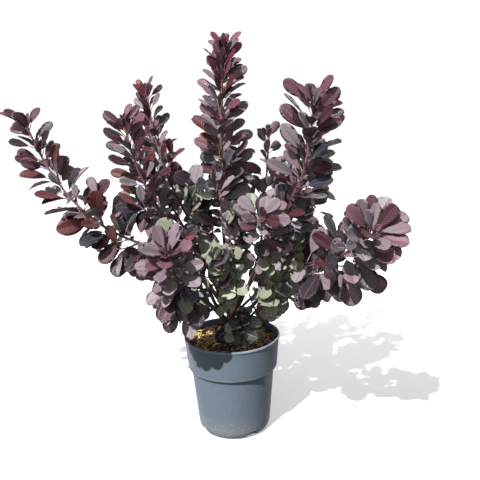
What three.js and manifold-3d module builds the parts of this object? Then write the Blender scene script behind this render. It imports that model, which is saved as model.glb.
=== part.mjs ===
// Royal purple smoke bush, a young shrub in a round nursery pot.
// Millimetres, +Z up. The origin is the centre of the pot's flat underside,
// and -Y is the side that the shrub is seen from.
import * as THREE from 'three';
import { mergeVertices } from 'three/addons/utils/BufferGeometryUtils.js';
import Module from 'manifold-3d';

const wasm = await Module();
wasm.setup();

// Pot: a tapered cup with a wider collar, a thin lip and a flat foot
const POT = {
  height: 194,
  rimRadius: 95,
  lipHeight: 4,
  lipWidth: 1.5,
  collarFoot: 132,
  collarFootRadius: 88.8,
  stepHeight: 4,
  bodyTopRadius: 82.4,
  footRadius: 72.1,
  footRound: 12,
  wall: 1.8,
  floor: 2.6,
  sides: 32,
};
const DRAIN = { count: 4, width: 25, height: 13, depth: 14, firstAngle: -62 };

// Soil: fills the pot and lies a little below the rim, mounded at the stem
const SOIL = { top: 180, mound: 4 };

// Clear gap between neighbouring solids
const GAP = 0.3;

// Trunk: short, flared where it meets the soil, leaning slightly back
const TRUNK = {
  foot: new THREE.Vector3(0, 0, SOIL.top + SOIL.mound + GAP),
  top: new THREE.Vector3(-2, 5, SOIL.top + 88),
  flareRadius: 14,
  flareHeight: 0.16,
  waistRadius: 9.4,
  topRadius: 7.4,
  sides: 10,
  rings: 7,
};

const BOUGH = { rootRadius: 3.9, tipRadius: 3.1, sides: 6, rings: 4, leave: 0.36, arrive: 0.34 };
const STEM = { rootRadius: 3, tipRadius: 1.6, sides: 4, rings: 6 };
const TWIG = { rootRadius: 2, tipRadius: 1.3, sides: 3, rings: 3, length: 34, angle: 52, sweep: 0.25 };

// Leaf: a petiole that widens into an egg-shaped blade, broadest past its middle
const LEAF = {
  turn: 137.5,
  width: 0.74,
  petiole: 0.42,
  innerPetiole: 0.3,
  sunk: 1.2,
  neck: 2.2,
  broad: 0.56,
  endWidth: 0.5,
  thickness: 1.3,
  firstOnStem: 0.04,
  bareShare: 0.3,
  lean: 0.25,
  apart: 0.42,
  sizes: [1, 0.8, 0.64],
  turns: [0, 65, -65, 130, -130],
};

// How far a leaf may differ from the rule: degrees, and shares of its length
const VARY = { turn: 40, angle: 32, roll: 80, length: 0.26, droop: 0.22 };

// How clear of other limbs, pot and soil a leaf has to stay
const CLEAR = { space: 0.05, limb: 1.2, rim: 7, soil: 3 };

// Shoots: where each leaves the trunk (height over the soil, or null from its top),
// the foot, bend and tip of its leafy stem, then its leaves: how many, how they crowd
// to the tip, their length at foot and tip, their angle from the stem at foot and tip,
// and the reach of its space
const SHOOTS = [
  ['far_left', 32, [-110, -12, 372], [-298, 0, 400], [-364, 10, 613], 43, 1.05, 60, 38, 84, 36, 72],
  ['left_front', 62, [-96, -38, 410], [-160, -50, 500], [-172, -60, 606], 29, 1.2, 52, 36, 64, 32, 62],
  ['left_back', 70, [-80, 36, 430], [-136, 50, 530], [-147, 60, 666], 28, 1.2, 46, 29, 64, 34, 58],
  ['leader', null, [-9, 13, 380], [-14, 18, 560], [3, 25, 738], 58, 1.15, 64, 31, 76, 36, 76],
  ['right_thin', 74, [48, 54, 385], [84, 80, 450], [87, 95, 580], 16, 1.2, 38, 28, 68, 36, 46],
  ['right', 62, [84, -28, 382], [142, -50, 470], [154, -65, 634], 36, 1.2, 64, 46, 70, 38, 80],
  ['right_front', 30, [118, -62, 324], [186, -124, 368], [224, -190, 426], 37, 2.2, 58, 50, 104, 48, 92],
  ['left_low', 24, [-60, -80, 298], [-86, -128, 322], [-97, -178, 400], 33, 1.7, 56, 38, 108, 40, 78],
  ['centre_front', 50, [44, -56, 336], [60, -106, 396], [54, -156, 452], 28, 1.6, 50, 36, 104, 44, 64],
  ['back_left', 50, [-74, 84, 366], [-140, 146, 450], [-164, 180, 584], 20, 1.2, 50, 40, 78, 40, 62],
  ['back_right', 40, [88, 88, 346], [164, 146, 410], [200, 180, 536], 21, 1.2, 52, 42, 78, 40, 64],
  ['back_centre', 58, [2, 88, 384], [0, 146, 480], [-6, 184, 600], 21, 1.2, 50, 38, 78, 40, 58],
];

// Inner foliage: on stems straight from the trunk at a height over the soil, by way of
// a bend to a tip, with its leaves as above and then its number of side twigs
const INNER = [
  ['inner_left', 46, [-42, -46, 312], [-98, -68, 408], 17, 1, 46, 42, 80, 56, 90, 2],
  ['inner_front', 38, [-8, -76, 290], [-16, -104, 376], 19, 1, 46, 42, 80, 56, 90, 2],
  ['inner_right', 16, [52, -46, 250], [84, -74, 322], 12, 1, 42, 36, 80, 56, 76, 2],
  ['inner_side', 48, [96, 12, 310], [146, 14, 376], 14, 1, 46, 42, 80, 50, 84, 2],
  ['inner_low', 18, [6, -30, 214], [22, -72, 256], 17, 1, 36, 32, 80, 60, 84, 1],
  ['inner_upper', 54, [-35, -2, 380], [-62, -5, 500], 14, 1, 44, 36, 76, 40, 70, 1],
  ['inner_top', 66, [12, -28, 352], [26, -40, 440], 14, 1, 44, 38, 76, 46, 70, 1],
  ['inner_back_left', 36, [-84, 54, 280], [-140, 70, 350], 14, 1, 48, 42, 80, 50, 90, 2],
  ['inner_back', 26, [0, 80, 270], [-10, 128, 320], 12, 1, 48, 42, 80, 50, 90, 2],
  ['inner_back_right', 24, [76, 46, 256], [104, 96, 300], 12, 1, 48, 42, 80, 50, 84, 2],
];

// Colour and roughness of each kind of piece
const LOOK = {
  pot: ['#7b8794', 0.45],
  soil: ['#2c241d', 0.95],
  bark: ['#6b5442', 0.85],
  leaf: ['#5a3a48', 0.6],
};

const UP = new THREE.Vector3(0, 0, 1);
const SIDE = new THREE.Vector3(0, 1, 0);

// Where most light comes from, which the leaves turn their upper faces to: from the
// front, or from behind for a mass whose tip is further back than this
const LIGHT = new THREE.Vector3(-0.1, -0.85, 0.5);
const BACK = 66;

const lerp = THREE.MathUtils.lerp;
const rad = THREE.MathUtils.degToRad;
const vec = ([x, y, z]) => new THREE.Vector3(x, y, z);

// A repeatable number from 0 to 1 for draw k of leaf i on shoot j
function chance(j, i, k) {
  const v = Math.sin(j * 127.1 + i * 311.7 + k * 74.7) * 43758.5453;
  return v - Math.floor(v);
}

// The same from -0.5 to 0.5
const swing = (j, i, k) => chance(j, i, k) - 0.5;

function fromPoints(points, index) {
  const geometry = new THREE.BufferGeometry();
  const positions = points.flatMap((p) => [p.x, p.y, p.z]);
  geometry.setAttribute('position', new THREE.Float32BufferAttribute(positions, 3));
  geometry.setIndex(index);
  return geometry;
}

// Closed solid through rings of points, each ring with the same number of them
function loft(rings) {
  const count = rings[0].length;
  const index = [];
  for (let r = 0; r + 1 < rings.length; r += 1) {
    for (let i = 0; i < count; i += 1) {
      const a = r * count + i;
      const b = r * count + ((i + 1) % count);
      index.push(a, b, b + count, a, b + count, a + count);
    }
  }
  const last = (rings.length - 1) * count;
  for (let i = 1; i + 1 < count; i += 1) {
    index.push(0, i + 1, i, last, last + i, last + i + 1);
  }
  return fromPoints(rings.flat(), index);
}

// A closed geometry as a solid that can be joined and cut
function toSolid(geometry) {
  const bare = geometry.clone();
  bare.deleteAttribute('normal');
  bare.deleteAttribute('uv');
  const merged = mergeVertices(bare, 1e-4);
  return new wasm.Manifold(
    new wasm.Mesh({
      numProp: 3,
      vertProperties: new Float32Array(merged.attributes.position.array),
      triVerts: new Uint32Array(merged.index.array),
    }),
  );
}

function toGeometry(solid) {
  const mesh = solid.getMesh();
  const geometry = new THREE.BufferGeometry();
  geometry.setAttribute('position', new THREE.BufferAttribute(mesh.vertProperties, 3));
  geometry.setIndex(new THREE.BufferAttribute(mesh.triVerts, 1));
  return geometry;
}

// Closed solid of revolution about Z, from a profile of [radius, height] pairs that
// runs from the axis out, up and back to the axis
function revolve(profile, sides) {
  const points = profile.map(([radius, height]) => new THREE.Vector2(radius, height));
  return new THREE.LatheGeometry(points, sides).rotateX(Math.PI / 2);
}

// Two directions square to a limb's own direction
function across(along) {
  const u = new THREE.Vector3().crossVectors(along, SIDE).normalize();
  const v = new THREE.Vector3().crossVectors(along, u).normalize();
  return [u, v];
}

// Tapering limb: round rings with their radii, along a curve
function limb(curve, radiusAt, sides, rings) {
  const stations = [];
  for (let r = 0; r <= rings; r += 1) {
    const s = r / rings;
    const centre = curve.getPoint(s);
    const [u, v] = across(curve.getTangent(s));
    const ring = [];
    for (let i = 0; i < sides; i += 1) {
      const angle = (i * 2 * Math.PI) / sides;
      ring.push(
        centre
          .clone()
          .addScaledVector(u, radiusAt(s) * Math.cos(angle))
          .addScaledVector(v, radiusAt(s) * Math.sin(angle)),
      );
    }
    stations.push(ring);
  }
  return loft(stations);
}

const taper = (from, to) => (s) => lerp(from, to, s);

// The trunk's radius: a flare that dies out quickly, then an even taper
function trunkRadius(s) {
  const flare = TRUNK.flareRadius - TRUNK.waistRadius;
  return lerp(TRUNK.waistRadius, TRUNK.topRadius, s) + flare * Math.exp(-s / TRUNK.flareHeight);
}

const trunkLine = new THREE.LineCurve3(TRUNK.foot, TRUNK.top);

// The trunk, or the trunk grown by a margin: level rings that shift sideways as it leans
function trunkGeometry(margin) {
  const rise = TRUNK.top.z - TRUNK.foot.z;
  const profile = [[0, 0]];
  for (let r = 0; r <= TRUNK.rings; r += 1) {
    const s = r / TRUNK.rings;
    profile.push([trunkRadius(s) + margin, s * rise]);
  }
  profile.push([0, rise]);
  const { x, y, z } = TRUNK.foot;
  const lean = new THREE.Matrix4().makeShear(0, 0, 0, 0, (TRUNK.top.x - x) / rise, (TRUNK.top.y - y) / rise);
  return revolve(profile, TRUNK.sides).applyMatrix4(lean).translate(x, y, z);
}

// A point of the trunk's centre line at a height over the soil
function trunkPoint(height) {
  const s = (height + SOIL.top - TRUNK.foot.z) / (TRUNK.top.z - TRUNK.foot.z);
  return trunkLine.getPoint(s);
}

// The bough that leads from the trunk to a shoot's foot and arrives in its direction
function boughCurve(height, stem) {
  const foot = stem.getPoint(0).addScaledVector(stem.getTangent(0), -GAP);
  const start = height === null ? TRUNK.top.clone().addScaledVector(UP, GAP) : trunkPoint(height);
  const span = start.distanceTo(foot);
  const out = new THREE.Vector3().subVectors(foot, start).setZ(0).normalize();
  const leaving = out.multiplyScalar(height === null ? 0 : 1).add(UP).normalize();
  return new THREE.CubicBezierCurve3(
    start,
    start.clone().addScaledVector(leaving, span * BOUGH.leave),
    foot.clone().addScaledVector(stem.getTangent(0), -span * BOUGH.arrive),
    foot,
  );
}

const bend = (points) => new THREE.QuadraticBezierCurve3(...points);

// Side twig that leaves a stem at s, swept forward along it
function twigCurve(stem, s, azimuth, length) {
  const start = stem.getPoint(s);
  const along = stem.getTangent(s);
  const [u, v] = across(along);
  const out = u.multiplyScalar(Math.cos(azimuth)).addScaledVector(v, Math.sin(azimuth));
  const angle = rad(TWIG.angle);
  const way = along.clone().multiplyScalar(Math.cos(angle)).addScaledVector(out, Math.sin(angle));
  const middle = start.clone().addScaledVector(way, length / 2);
  const tip = start.clone().addScaledVector(way, length).addScaledVector(UP, length * TWIG.sweep);
  return bend([start, middle, tip]);
}

// Everything that one mass grows on: its stem, its twigs and the share of leaves on each
function growth([name, height, foot, middle, tip, leaves, crowd, ...rest], index) {
  const [footLength, tipLength, footAngle, tipAngle, reach, twigs = 0] = rest;
  const inner = foot === null;
  const stem = bend([inner ? trunkPoint(height) : vec(foot), vec(middle), vec(tip)]);
  const light = LIGHT.clone();
  if (tip[1] > BACK) {
    light.y *= -1;
  }
  const limbs = [{ curve: stem, size: STEM, share: 1 }];
  for (let t = 0; t < twigs; t += 1) {
    const s = lerp(0.4, 0.8, (t + 0.5) / twigs);
    const azimuth = rad(LEAF.turn * 1.5 * t) + swing(index, t, 9);
    limbs.push({ curve: twigCurve(stem, s, azimuth, TWIG.length), size: TWIG, share: 0.5 });
  }
  const whole = limbs.reduce((sum, one) => sum + one.share, 0);
  for (const one of limbs) {
    one.count = Math.round((leaves * one.share) / whole);
  }
  return {
    name, height, inner, stem, limbs, reach, index, crowd, light,
    petiole: inner ? LEAF.innerPetiole : LEAF.petiole,
    length: [footLength, tipLength],
    angle: [footAngle, tipAngle],
    bough: inner ? null : boughCurve(height, stem),
    hearts: [],
  };
}

const masses = [
  ...SHOOTS,
  ...INNER.map(([name, height, ...rest]) => [name, height, null, ...rest]),
].map(growth);

// Points along every mass's own stem, which share the room out between the masses,
// and along every limb that no leaf may touch
const SAMPLES = 14;
for (const mass of masses) {
  const from = mass.inner ? 0.35 : 0;
  mass.line = Array.from({ length: SAMPLES }, (_, i) =>
    mass.stem.getPoint(lerp(from, 1, i / (SAMPLES - 1))),
  );
}
const bareLimbs = [
  { owner: null, radius: TRUNK.waistRadius, points: trunkLine.getPoints(SAMPLES) },
  ...masses.filter((m) => m.bough).map((m) => ({
    owner: null, radius: BOUGH.rootRadius, points: m.bough.getPoints(SAMPLES * 3),
  })),
  ...masses.map((m) => ({
    owner: m, radius: STEM.rootRadius, points: m.stem.getPoints(SAMPLES * 3),
  })),
];

const nearest = (point, points) => Math.min(...points.map((p) => p.distanceTo(point)));

// Whether a point lies in the mass's own space, clear of the other limbs, pot and soil
function isFree(point, mass) {
  const own = nearest(point, mass.line) / mass.reach;
  for (const other of masses) {
    if (other !== mass && nearest(point, other.line) / other.reach < own + CLEAR.space) {
      return false;
    }
  }
  for (const { owner, radius, points } of bareLimbs) {
    if (owner !== mass && nearest(point, points) < radius + CLEAR.limb) {
      return false;
    }
  }
  const out = Math.hypot(point.x, point.y);
  const floor = out < POT.rimRadius - CLEAR.rim ? SOIL.top + SOIL.mound + CLEAR.soil : POT.height + CLEAR.rim;
  return point.z > floor || out > POT.rimRadius + CLEAR.rim;
}

// Where leaf i of a limb stands and how it lies: its root, the ways of its petiole and
// blade, its upper face and its length, turned round the limb by some more degrees
function leafPose(mass, curve, i, count, key, turn) {
  const { index } = mass;
  const u = (i + 0.5) / count;
  const s = lerp(LEAF.firstOnStem, 1, 1 - (1 - u) ** mass.crowd);
  const along = curve.getTangent(s);
  const [right, front] = across(along);
  const azimuth = rad(LEAF.turn * (i + key) + VARY.turn * swing(index, i + key, 1) + turn);
  const angle = rad(lerp(...mass.angle, s) + VARY.angle * swing(index, i + key, 2));
  const length = lerp(...mass.length, s) * (1 + VARY.length * swing(index, i + key, 3));
  const out = right.multiplyScalar(Math.cos(azimuth)).addScaledVector(front, Math.sin(azimuth));
  const way = along.clone().multiplyScalar(Math.cos(angle)).addScaledVector(out, Math.sin(angle));
  const blade = way.clone().addScaledVector(out, VARY.droop).normalize();
  const face = along.clone().multiplyScalar(LEAF.lean).add(mass.light);
  face.addScaledVector(blade, -face.dot(blade)).normalize();
  face.applyAxisAngle(blade, rad(VARY.roll * swing(index, i + key, 4)));
  return { root: curve.getPoint(s), way, blade, face, length, petiole: length * mass.petiole };
}

// Faces of a leaf: a point in the limb, three points round its neck, three round its
// broadest place and the two corners of its end
const LEAF_FACES = [
  [0, 2, 1], [0, 3, 2], [0, 1, 3],
  [1, 2, 5], [1, 5, 4], [2, 3, 6], [2, 6, 5], [3, 1, 4], [3, 4, 6],
  [4, 5, 7], [5, 6, 8], [5, 8, 7], [6, 4, 7], [6, 7, 8],
];

// Points of a blade that have to be free: shares of its length and of its half width
const PROBES = [0, 0.3, LEAF.broad, 0.8, 1].flatMap((share) =>
  [-1, -0.5, 0, 0.5, 1].map((aside) => [share, aside]),
);

function leafShape(pose, size) {
  const { root, way, blade, face } = pose;
  const length = pose.length * size;
  const half = (length * LEAF.width) / 2;
  const wide = new THREE.Vector3().crossVectors(blade, face);
  const neck = root.clone().addScaledVector(way, pose.petiole * size);
  const halfAt = (share) => (share < LEAF.broad
    ? lerp(LEAF.neck, half, share / LEAF.broad)
    : lerp(half, half * LEAF.endWidth, (share - LEAF.broad) / (1 - LEAF.broad)));
  const at = (share, aside) => neck.clone()
    .addScaledVector(blade, length * share)
    .addScaledVector(wide, halfAt(share) * aside);
  const round = (share) => [at(share, 1), at(share, 0).addScaledVector(face, -LEAF.thickness), at(share, -1)];
  return {
    points: [
      root.clone().addScaledVector(way, -LEAF.sunk),
      ...round(0),
      ...round(LEAF.broad),
      at(1, 1),
      at(1, -1),
    ],
    probes: [
      root.clone().lerp(neck, 0.6),
      ...PROBES.map(([share, aside]) => at(share, aside)),
    ],
    heart: at(LEAF.broad, 0),
    apart: length * LEAF.apart,
  };
}

// The leaf at its full length or smaller, where it grows or turned to where there is
// room for it, or null where it fits nowhere
function fittingLeaf(mass, curve, i, count, key) {
  for (const size of LEAF.sizes) {
    for (const turn of LEAF.turns) {
      const leaf = leafShape(leafPose(mass, curve, i, count, key, turn), size);
      const apart = mass.hearts.every((p) => p.distanceTo(leaf.heart) > leaf.apart);
      if (apart && leaf.probes.every((p) => isFree(p, mass))) {
        mass.hearts.push(leaf.heart);
        return leaf;
      }
    }
  }
  return null;
}

// The trunk with the clear gap round it, as the tool that cuts what grows from it
const grownTrunk = toSolid(trunkGeometry(GAP));

// One mass: its stem and twigs with the leaves fused on, kept clear of bough and trunk
function massGeometry(mass) {
  const parts = [];
  mass.limbs.forEach(({ curve, size, count }, which) => {
    const radius = taper(size.rootRadius, size.tipRadius);
    if (which > 0 && !curve.getPoints(10).slice(1).every((p) => isFree(p, mass))) {
      return;
    }
    parts.push(toSolid(limb(curve, radius, size.sides, size.rings)));
    const bare = mass.inner && which === 0 ? LEAF.bareShare : 0;
    for (let i = Math.floor(count * bare); i < count; i += 1) {
      const leaf = fittingLeaf(mass, curve, i, count, which * 100);
      if (leaf) {
        parts.push(toSolid(fromPoints(leaf.points, LEAF_FACES.flat())));
      }
    }
  });
  const whole = wasm.Manifold.union(parts);
  return toGeometry(mass.inner ? whole.subtract(grownTrunk) : whole);
}

function boughGeometry(mass) {
  const radius = taper(BOUGH.rootRadius, BOUGH.tipRadius);
  const whole = toSolid(limb(mass.bough, radius, BOUGH.sides, BOUGH.rings));
  return toGeometry(mass.height === null ? whole : whole.subtract(grownTrunk));
}

// Inner radius of the pot at the heights where its wall bends
const INSIDE = [
  [POT.footRadius - POT.footRound, POT.floor],
  [POT.footRadius - POT.wall, POT.footRound + POT.floor],
  [POT.bodyTopRadius - POT.wall, POT.collarFoot - POT.stepHeight + POT.wall],
  [POT.collarFootRadius - POT.wall, POT.collarFoot + POT.wall],
  [POT.rimRadius - POT.lipWidth - POT.wall, POT.height],
];

// Radius of the inner wall between its last two bends
function collarInside(height) {
  const [[r0, z0], [r1, z1]] = INSIDE.slice(-2);
  return lerp(r0, r1, (height - z0) / (z1 - z0));
}

// The pot: a cup turned in one piece, with drain notches cut through its lower edge
function potGeometry() {
  const { height, lipHeight, lipWidth, footRadius, footRound, collarFoot } = POT;
  const outside = [
    [0, 0],
    [footRadius - footRound, 0],
    [footRadius - footRound * 0.32, footRound * 0.28],
    [footRadius, footRound],
    [POT.bodyTopRadius, collarFoot - POT.stepHeight],
    [POT.collarFootRadius, collarFoot],
    [POT.rimRadius - lipWidth, height - lipHeight],
    [POT.rimRadius, height - lipHeight],
    [POT.rimRadius, height],
  ];
  const cup = revolve([...outside, ...INSIDE.toReversed(), [0, POT.floor]], POT.sides);
  const arch = new THREE.Shape();
  arch.moveTo(-DRAIN.width / 2, -1);
  arch.lineTo(DRAIN.width / 2, -1);
  arch.lineTo(DRAIN.width / 2, DRAIN.height * 0.4);
  arch.lineTo(DRAIN.width / 4, DRAIN.height);
  arch.lineTo(-DRAIN.width / 4, DRAIN.height);
  arch.lineTo(-DRAIN.width / 2, DRAIN.height * 0.4);
  const cutters = [];
  for (let i = 0; i < DRAIN.count; i += 1) {
    const cutter = new THREE.ExtrudeGeometry(arch, { depth: DRAIN.depth * 2, bevelEnabled: false });
    cutter.rotateX(Math.PI / 2);
    cutter.translate(0, -footRadius + DRAIN.depth, 0);
    cutter.rotateZ(rad(DRAIN.firstAngle + 90 + (360 / DRAIN.count) * i));
    cutters.push(toSolid(cutter));
  }
  return toGeometry(toSolid(cup).subtract(wasm.Manifold.union(cutters)));
}

// The soil's profile: it fills the pot, up to a low mound with a flat top for the trunk
function soilProfile() {
  const side = INSIDE.slice(0, -1).map(([radius, height]) => [radius - GAP, height + GAP]);
  const flat = TRUNK.flareRadius * 1.3;
  return [
    [0, POT.floor + GAP],
    ...side,
    [collarInside(SOIL.top) - GAP, SOIL.top],
    [flat * 2, SOIL.top + SOIL.mound * 0.7],
    [flat, SOIL.top + SOIL.mound],
    [0, SOIL.top + SOIL.mound],
  ];
}

const group = new THREE.Group();

function place(name, geometry, [colour, roughness]) {
  const material = new THREE.MeshStandardMaterial({ color: colour, roughness, metalness: 0 });
  const mesh = new THREE.Mesh(geometry, material);
  mesh.name = name;
  group.add(mesh);
}

place('pot', potGeometry(), LOOK.pot);
place('soil', toGeometry(toSolid(revolve(soilProfile(), POT.sides))), LOOK.soil);
place('trunk', trunkGeometry(0), LOOK.bark);
for (const mass of masses) {
  if (mass.bough) place(`bough_${mass.name}`, boughGeometry(mass), LOOK.bark);
  place(`foliage_${mass.name}`, massGeometry(mass), LOOK.leaf);
}

export default group;
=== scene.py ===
"""Royal purple smoke bush, a young shrub in a round nursery pot.

Every length in the tables and functions is in millimetres, apart from the stage's, with Z up and the shrub
seen from -Y. A mesh is turned to metres as it is made. The foliage grows by the same rule as the packed
solids, inside the same spaces, and is then carried on to finer twigs and smaller leaves.
"""

import functools
import math
from types import SimpleNamespace

import bpy
import numpy as np
from mathutils import Matrix


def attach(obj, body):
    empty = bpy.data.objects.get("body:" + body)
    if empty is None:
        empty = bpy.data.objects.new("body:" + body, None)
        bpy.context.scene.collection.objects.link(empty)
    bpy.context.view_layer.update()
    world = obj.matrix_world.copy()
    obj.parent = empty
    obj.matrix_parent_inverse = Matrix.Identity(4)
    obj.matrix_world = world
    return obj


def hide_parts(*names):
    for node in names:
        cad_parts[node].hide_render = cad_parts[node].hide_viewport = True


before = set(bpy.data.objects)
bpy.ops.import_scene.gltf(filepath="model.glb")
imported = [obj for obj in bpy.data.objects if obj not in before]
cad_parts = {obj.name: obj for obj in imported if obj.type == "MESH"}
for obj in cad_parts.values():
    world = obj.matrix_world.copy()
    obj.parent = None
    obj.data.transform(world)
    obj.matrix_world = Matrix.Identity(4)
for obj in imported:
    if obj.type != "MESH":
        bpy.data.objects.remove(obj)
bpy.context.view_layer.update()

bl_info = {
    "name": "Potted purple smoke bush",
    "version": (1, 0, 0),
    "blender": (4, 5, 0),
    "location": "View3D > Sidebar > Smoke bush",
    "description": "A young purple smoke bush with its nursery pot, soil and studio",
    "category": "Add Mesh",
}

# Sizes of the packed solids, in millimetres

POT = {"height": 194, "rim": 95, "lip_height": 4, "lip_width": 1.5, "collar_foot": 132, "collar_radius": 88.8}
POT |= {"step": 4, "body_top": 82.4, "foot": 72.1, "foot_round": 12, "wall": 1.8, "floor": 2.6}
# Drain notches in the pot's foot: first is the angle of the first one in degrees, below how far the shape
# that cuts them reaches under the pot
DRAIN = {"count": 4, "width": 25, "height": 13, "depth": 14, "first": -62, "below": 1}
# Corners of half a notch's arch from its foot up, as shares of its half width and of its height
DRAIN |= {"arch": ((1, 0.4), (0.8, 0.8), (0.5, 1))}
SOIL = {"top": 180, "mound": 4}
# Gap that keeps a bough clear of the trunk's top and of its shoot's foot
GAP = 0.3

TRUNK = {"foot": (0, 0, 184.3), "top": (-2, 5, 268), "flare": 14, "flare_height": 0.16}
TRUNK |= {"waist": 9.4, "end": 7.4}
BOUGH = {"root": 3.9, "tip": 3.1, "leave": 0.36, "arrive": 0.34}
STEM = {"root": 3, "tip": 1.6}
TWIG = {"root": 2.0, "tip": 1.3, "length": 34, "angle": 52, "sweep": 0.25}
# Their turn from one to the next beside that of leaves, the stretch of the stem that they stand on, their
# share of its leaves beside the stem's own and the step of the leaves' numbers
TWIG |= {"turn": 1.5, "span": (0.4, 0.8), "share": 0.5, "step": 100}

# Shoots: height on the trunk over the soil (None from its top), foot, bend and tip of the leafy stem, number
# of leaves, crowding to the tip, leaf length at foot and tip, leaf angle at foot and tip, reach of the space
SHOOTS = [
    ("far_left", 32, (-110, -12, 372), (-298, 0, 400), (-364, 10, 613), 43, 1.05, 60, 38, 84, 36, 72),
    ("left_front", 62, (-96, -38, 410), (-160, -50, 500), (-172, -60, 606), 29, 1.2, 52, 36, 64, 32, 62),
    ("left_back", 70, (-80, 36, 430), (-136, 50, 530), (-147, 60, 666), 28, 1.2, 46, 29, 64, 34, 58),
    ("leader", None, (-9, 13, 380), (-14, 18, 560), (3, 25, 738), 58, 1.15, 64, 31, 76, 36, 76),
    ("right_thin", 74, (48, 54, 385), (84, 80, 450), (87, 95, 580), 16, 1.2, 38, 28, 68, 36, 46),
    ("right", 62, (84, -28, 382), (142, -50, 470), (154, -65, 634), 36, 1.2, 64, 46, 70, 38, 80),
    ("right_front", 30, (118, -62, 324), (186, -124, 368), (224, -190, 426), 37, 2.2, 58, 50, 104, 48, 92),
    ("left_low", 24, (-60, -80, 298), (-86, -128, 322), (-97, -178, 400), 33, 1.7, 56, 38, 108, 40, 78),
    ("centre_front", 50, (44, -56, 336), (60, -106, 396), (54, -156, 452), 28, 1.6, 50, 36, 104, 44, 64),
    ("back_left", 50, (-74, 84, 366), (-140, 146, 450), (-164, 180, 584), 20, 1.2, 50, 40, 78, 40, 62),
    ("back_right", 40, (88, 88, 346), (164, 146, 410), (200, 180, 536), 21, 1.2, 52, 42, 78, 40, 64),
    ("back_centre", 58, (2, 88, 384), (0, 146, 480), (-6, 184, 600), 21, 1.2, 50, 38, 78, 40, 58),
]

# Inner foliage: height on the trunk, bend and tip of the stem, then as above and the number of side twigs
INNER = [
    ("inner_left", 46, (-42, -46, 312), (-98, -68, 408), 17, 1, 46, 42, 80, 56, 90, 2),
    ("inner_front", 38, (-8, -76, 290), (-16, -104, 376), 19, 1, 46, 42, 80, 56, 90, 2),
    ("inner_right", 16, (52, -46, 250), (84, -74, 322), 12, 1, 42, 36, 80, 56, 76, 2),
    ("inner_side", 48, (96, 12, 310), (146, 14, 376), 14, 1, 46, 42, 80, 50, 84, 2),
    ("inner_low", 18, (6, -30, 214), (22, -72, 256), 17, 1, 36, 32, 80, 60, 84, 1),
    ("inner_upper", 54, (-35, -2, 380), (-62, -5, 500), 14, 1, 44, 36, 76, 40, 70, 1),
    ("inner_top", 66, (12, -28, 352), (26, -40, 440), 14, 1, 44, 38, 76, 46, 70, 1),
    ("inner_back_left", 36, (-84, 54, 280), (-140, 70, 350), 14, 1, 48, 42, 80, 50, 90, 2),
    ("inner_back", 26, (0, 80, 270), (-10, 128, 320), 12, 1, 48, 42, 80, 50, 90, 2),
    ("inner_back_right", 24, (76, 46, 256), (104, 96, 300), 12, 1, 48, 42, 80, 50, 84, 2),
]

# Leaf rule: turn from one leaf to the next in degrees, then shares of the leaf's length and millimetres
LEAF = {"turn": 137.5, "width": 0.74, "petiole": 0.42, "inner_petiole": 0.3, "sunk": 1.2, "neck": 2.2}
LEAF |= {"broad": 0.56, "end": 0.5, "first": 0.04, "bare": 0.3, "lean": 0.25, "apart": 0.42}
# Share of a leaf's stalk at which it is tested for room
LEAF |= {"stalk_probe": 0.6}
# How much the leaves differ in all: degrees, then a share of the length, and how far the blade leans out
VARY = {"turn": 40, "angle": 32, "roll": 80, "length": 0.26, "droop": 0.22}
# What leaves keep clear: a share of the reach to the next space, then millimetres
CLEAR = {"space": 0.05, "limb": 1.2, "rim": 7, "soil": 3}
# Places of each curve that are looked at in the search for room: the share of the curve at which the first
# one lies, and how many there are
PLACES = {"line": (0, 14), "inner_line": (0.35, 14), "trunk": (0, 15), "limb": (0, 43)}
PLACES |= {"twig": (0.1, 10), "fine_twig": (0.15, 8)}
# The sizes and turns that a leaf tries until it finds room, and how far it keeps from other leaves' middles,
# as a share of its length
COARSE = SimpleNamespace(sizes=(1, 0.8, 0.64), turns=(0, 65, -65, 130, -130), apart=LEAF["apart"])

# What the scene adds to the packed solids, in millimetres

# Bands where the pot is rubbed pale, the one on the lip also a painted highlight: height, half their own
# height and how pale they are
RUBBED_AND_HIGHLIT = [(POT["height"] - 1.5, 3.2, 0.75), (POT["collar_foot"] + 0.5, 3.0, 0.5)]
# Longest stretch between two rings of the pot, and the angle in degrees from which its edges are sharp
POT_STEP, POT_SHARP = 12, 38
# Dirt on the pot: thick up to one height and thin from another, what is left there, and the film's share
DIRT = {"thick_to": 12, "thin_from": 55, "least": 0.04, "film": 0.14}
# The soil's mesh: its gap to the wall, its sides, its rings under the bed, up the wall and over the bed, how
# far it stays over the pot's floor, how far under its top the wall's rings end, and its innermost ring
BED = {"gap": 0.8, "sides": 120, "under": (20, 45), "wall": 14, "over": 46}
BED |= {"over_floor": 0.6, "shoulder": 4, "innermost": 2}
# The bed's surface: how far out the mound reaches and how it falls off, the cells and heights of its three
# layers of crumbs beside the roughness, and the level that is taken off them
RELIEF = {"mound": 88, "fall": 1.4, "crumbs": ((17, 1), (7, 0.8), (3.2, 0.6)), "level": 1.2}
# Slots of the chips' materials, and of the twigs' and stalks'
CRUMB, GOLDEN, PALE, TAN, BROWN = range(5)
RIPE, TURNING, FRESH, STALK, YOUNG_STALK = range(5)
# Chips and crumbs: how far out their middles and their tips may lie and how high a chip lies, then where tan
# chips take over from golden ones, over what width, how far from there in that width the golden and tan ones
# start, and how that start wavers
CHIP = {"spread": 86, "edge": 88.5, "lift": 0.9, "middle": -8, "fade": 70, "dry": 0.28, "blur": 0.35}
# Least and most length, width and thickness of a chip and size of a crumb, how flat a crumb is, the share of
# crumbs that are peat, and how far over the bed they lie as a share of their thickness
CHIP |= {"length": (8, 22), "width": (1.6, 5), "thick": (0.7, 1.6), "crumb": (1.6, 4.2), "flat": 0.7}
CHIP |= {"peat": 0.85, "shows": 0.35}
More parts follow.
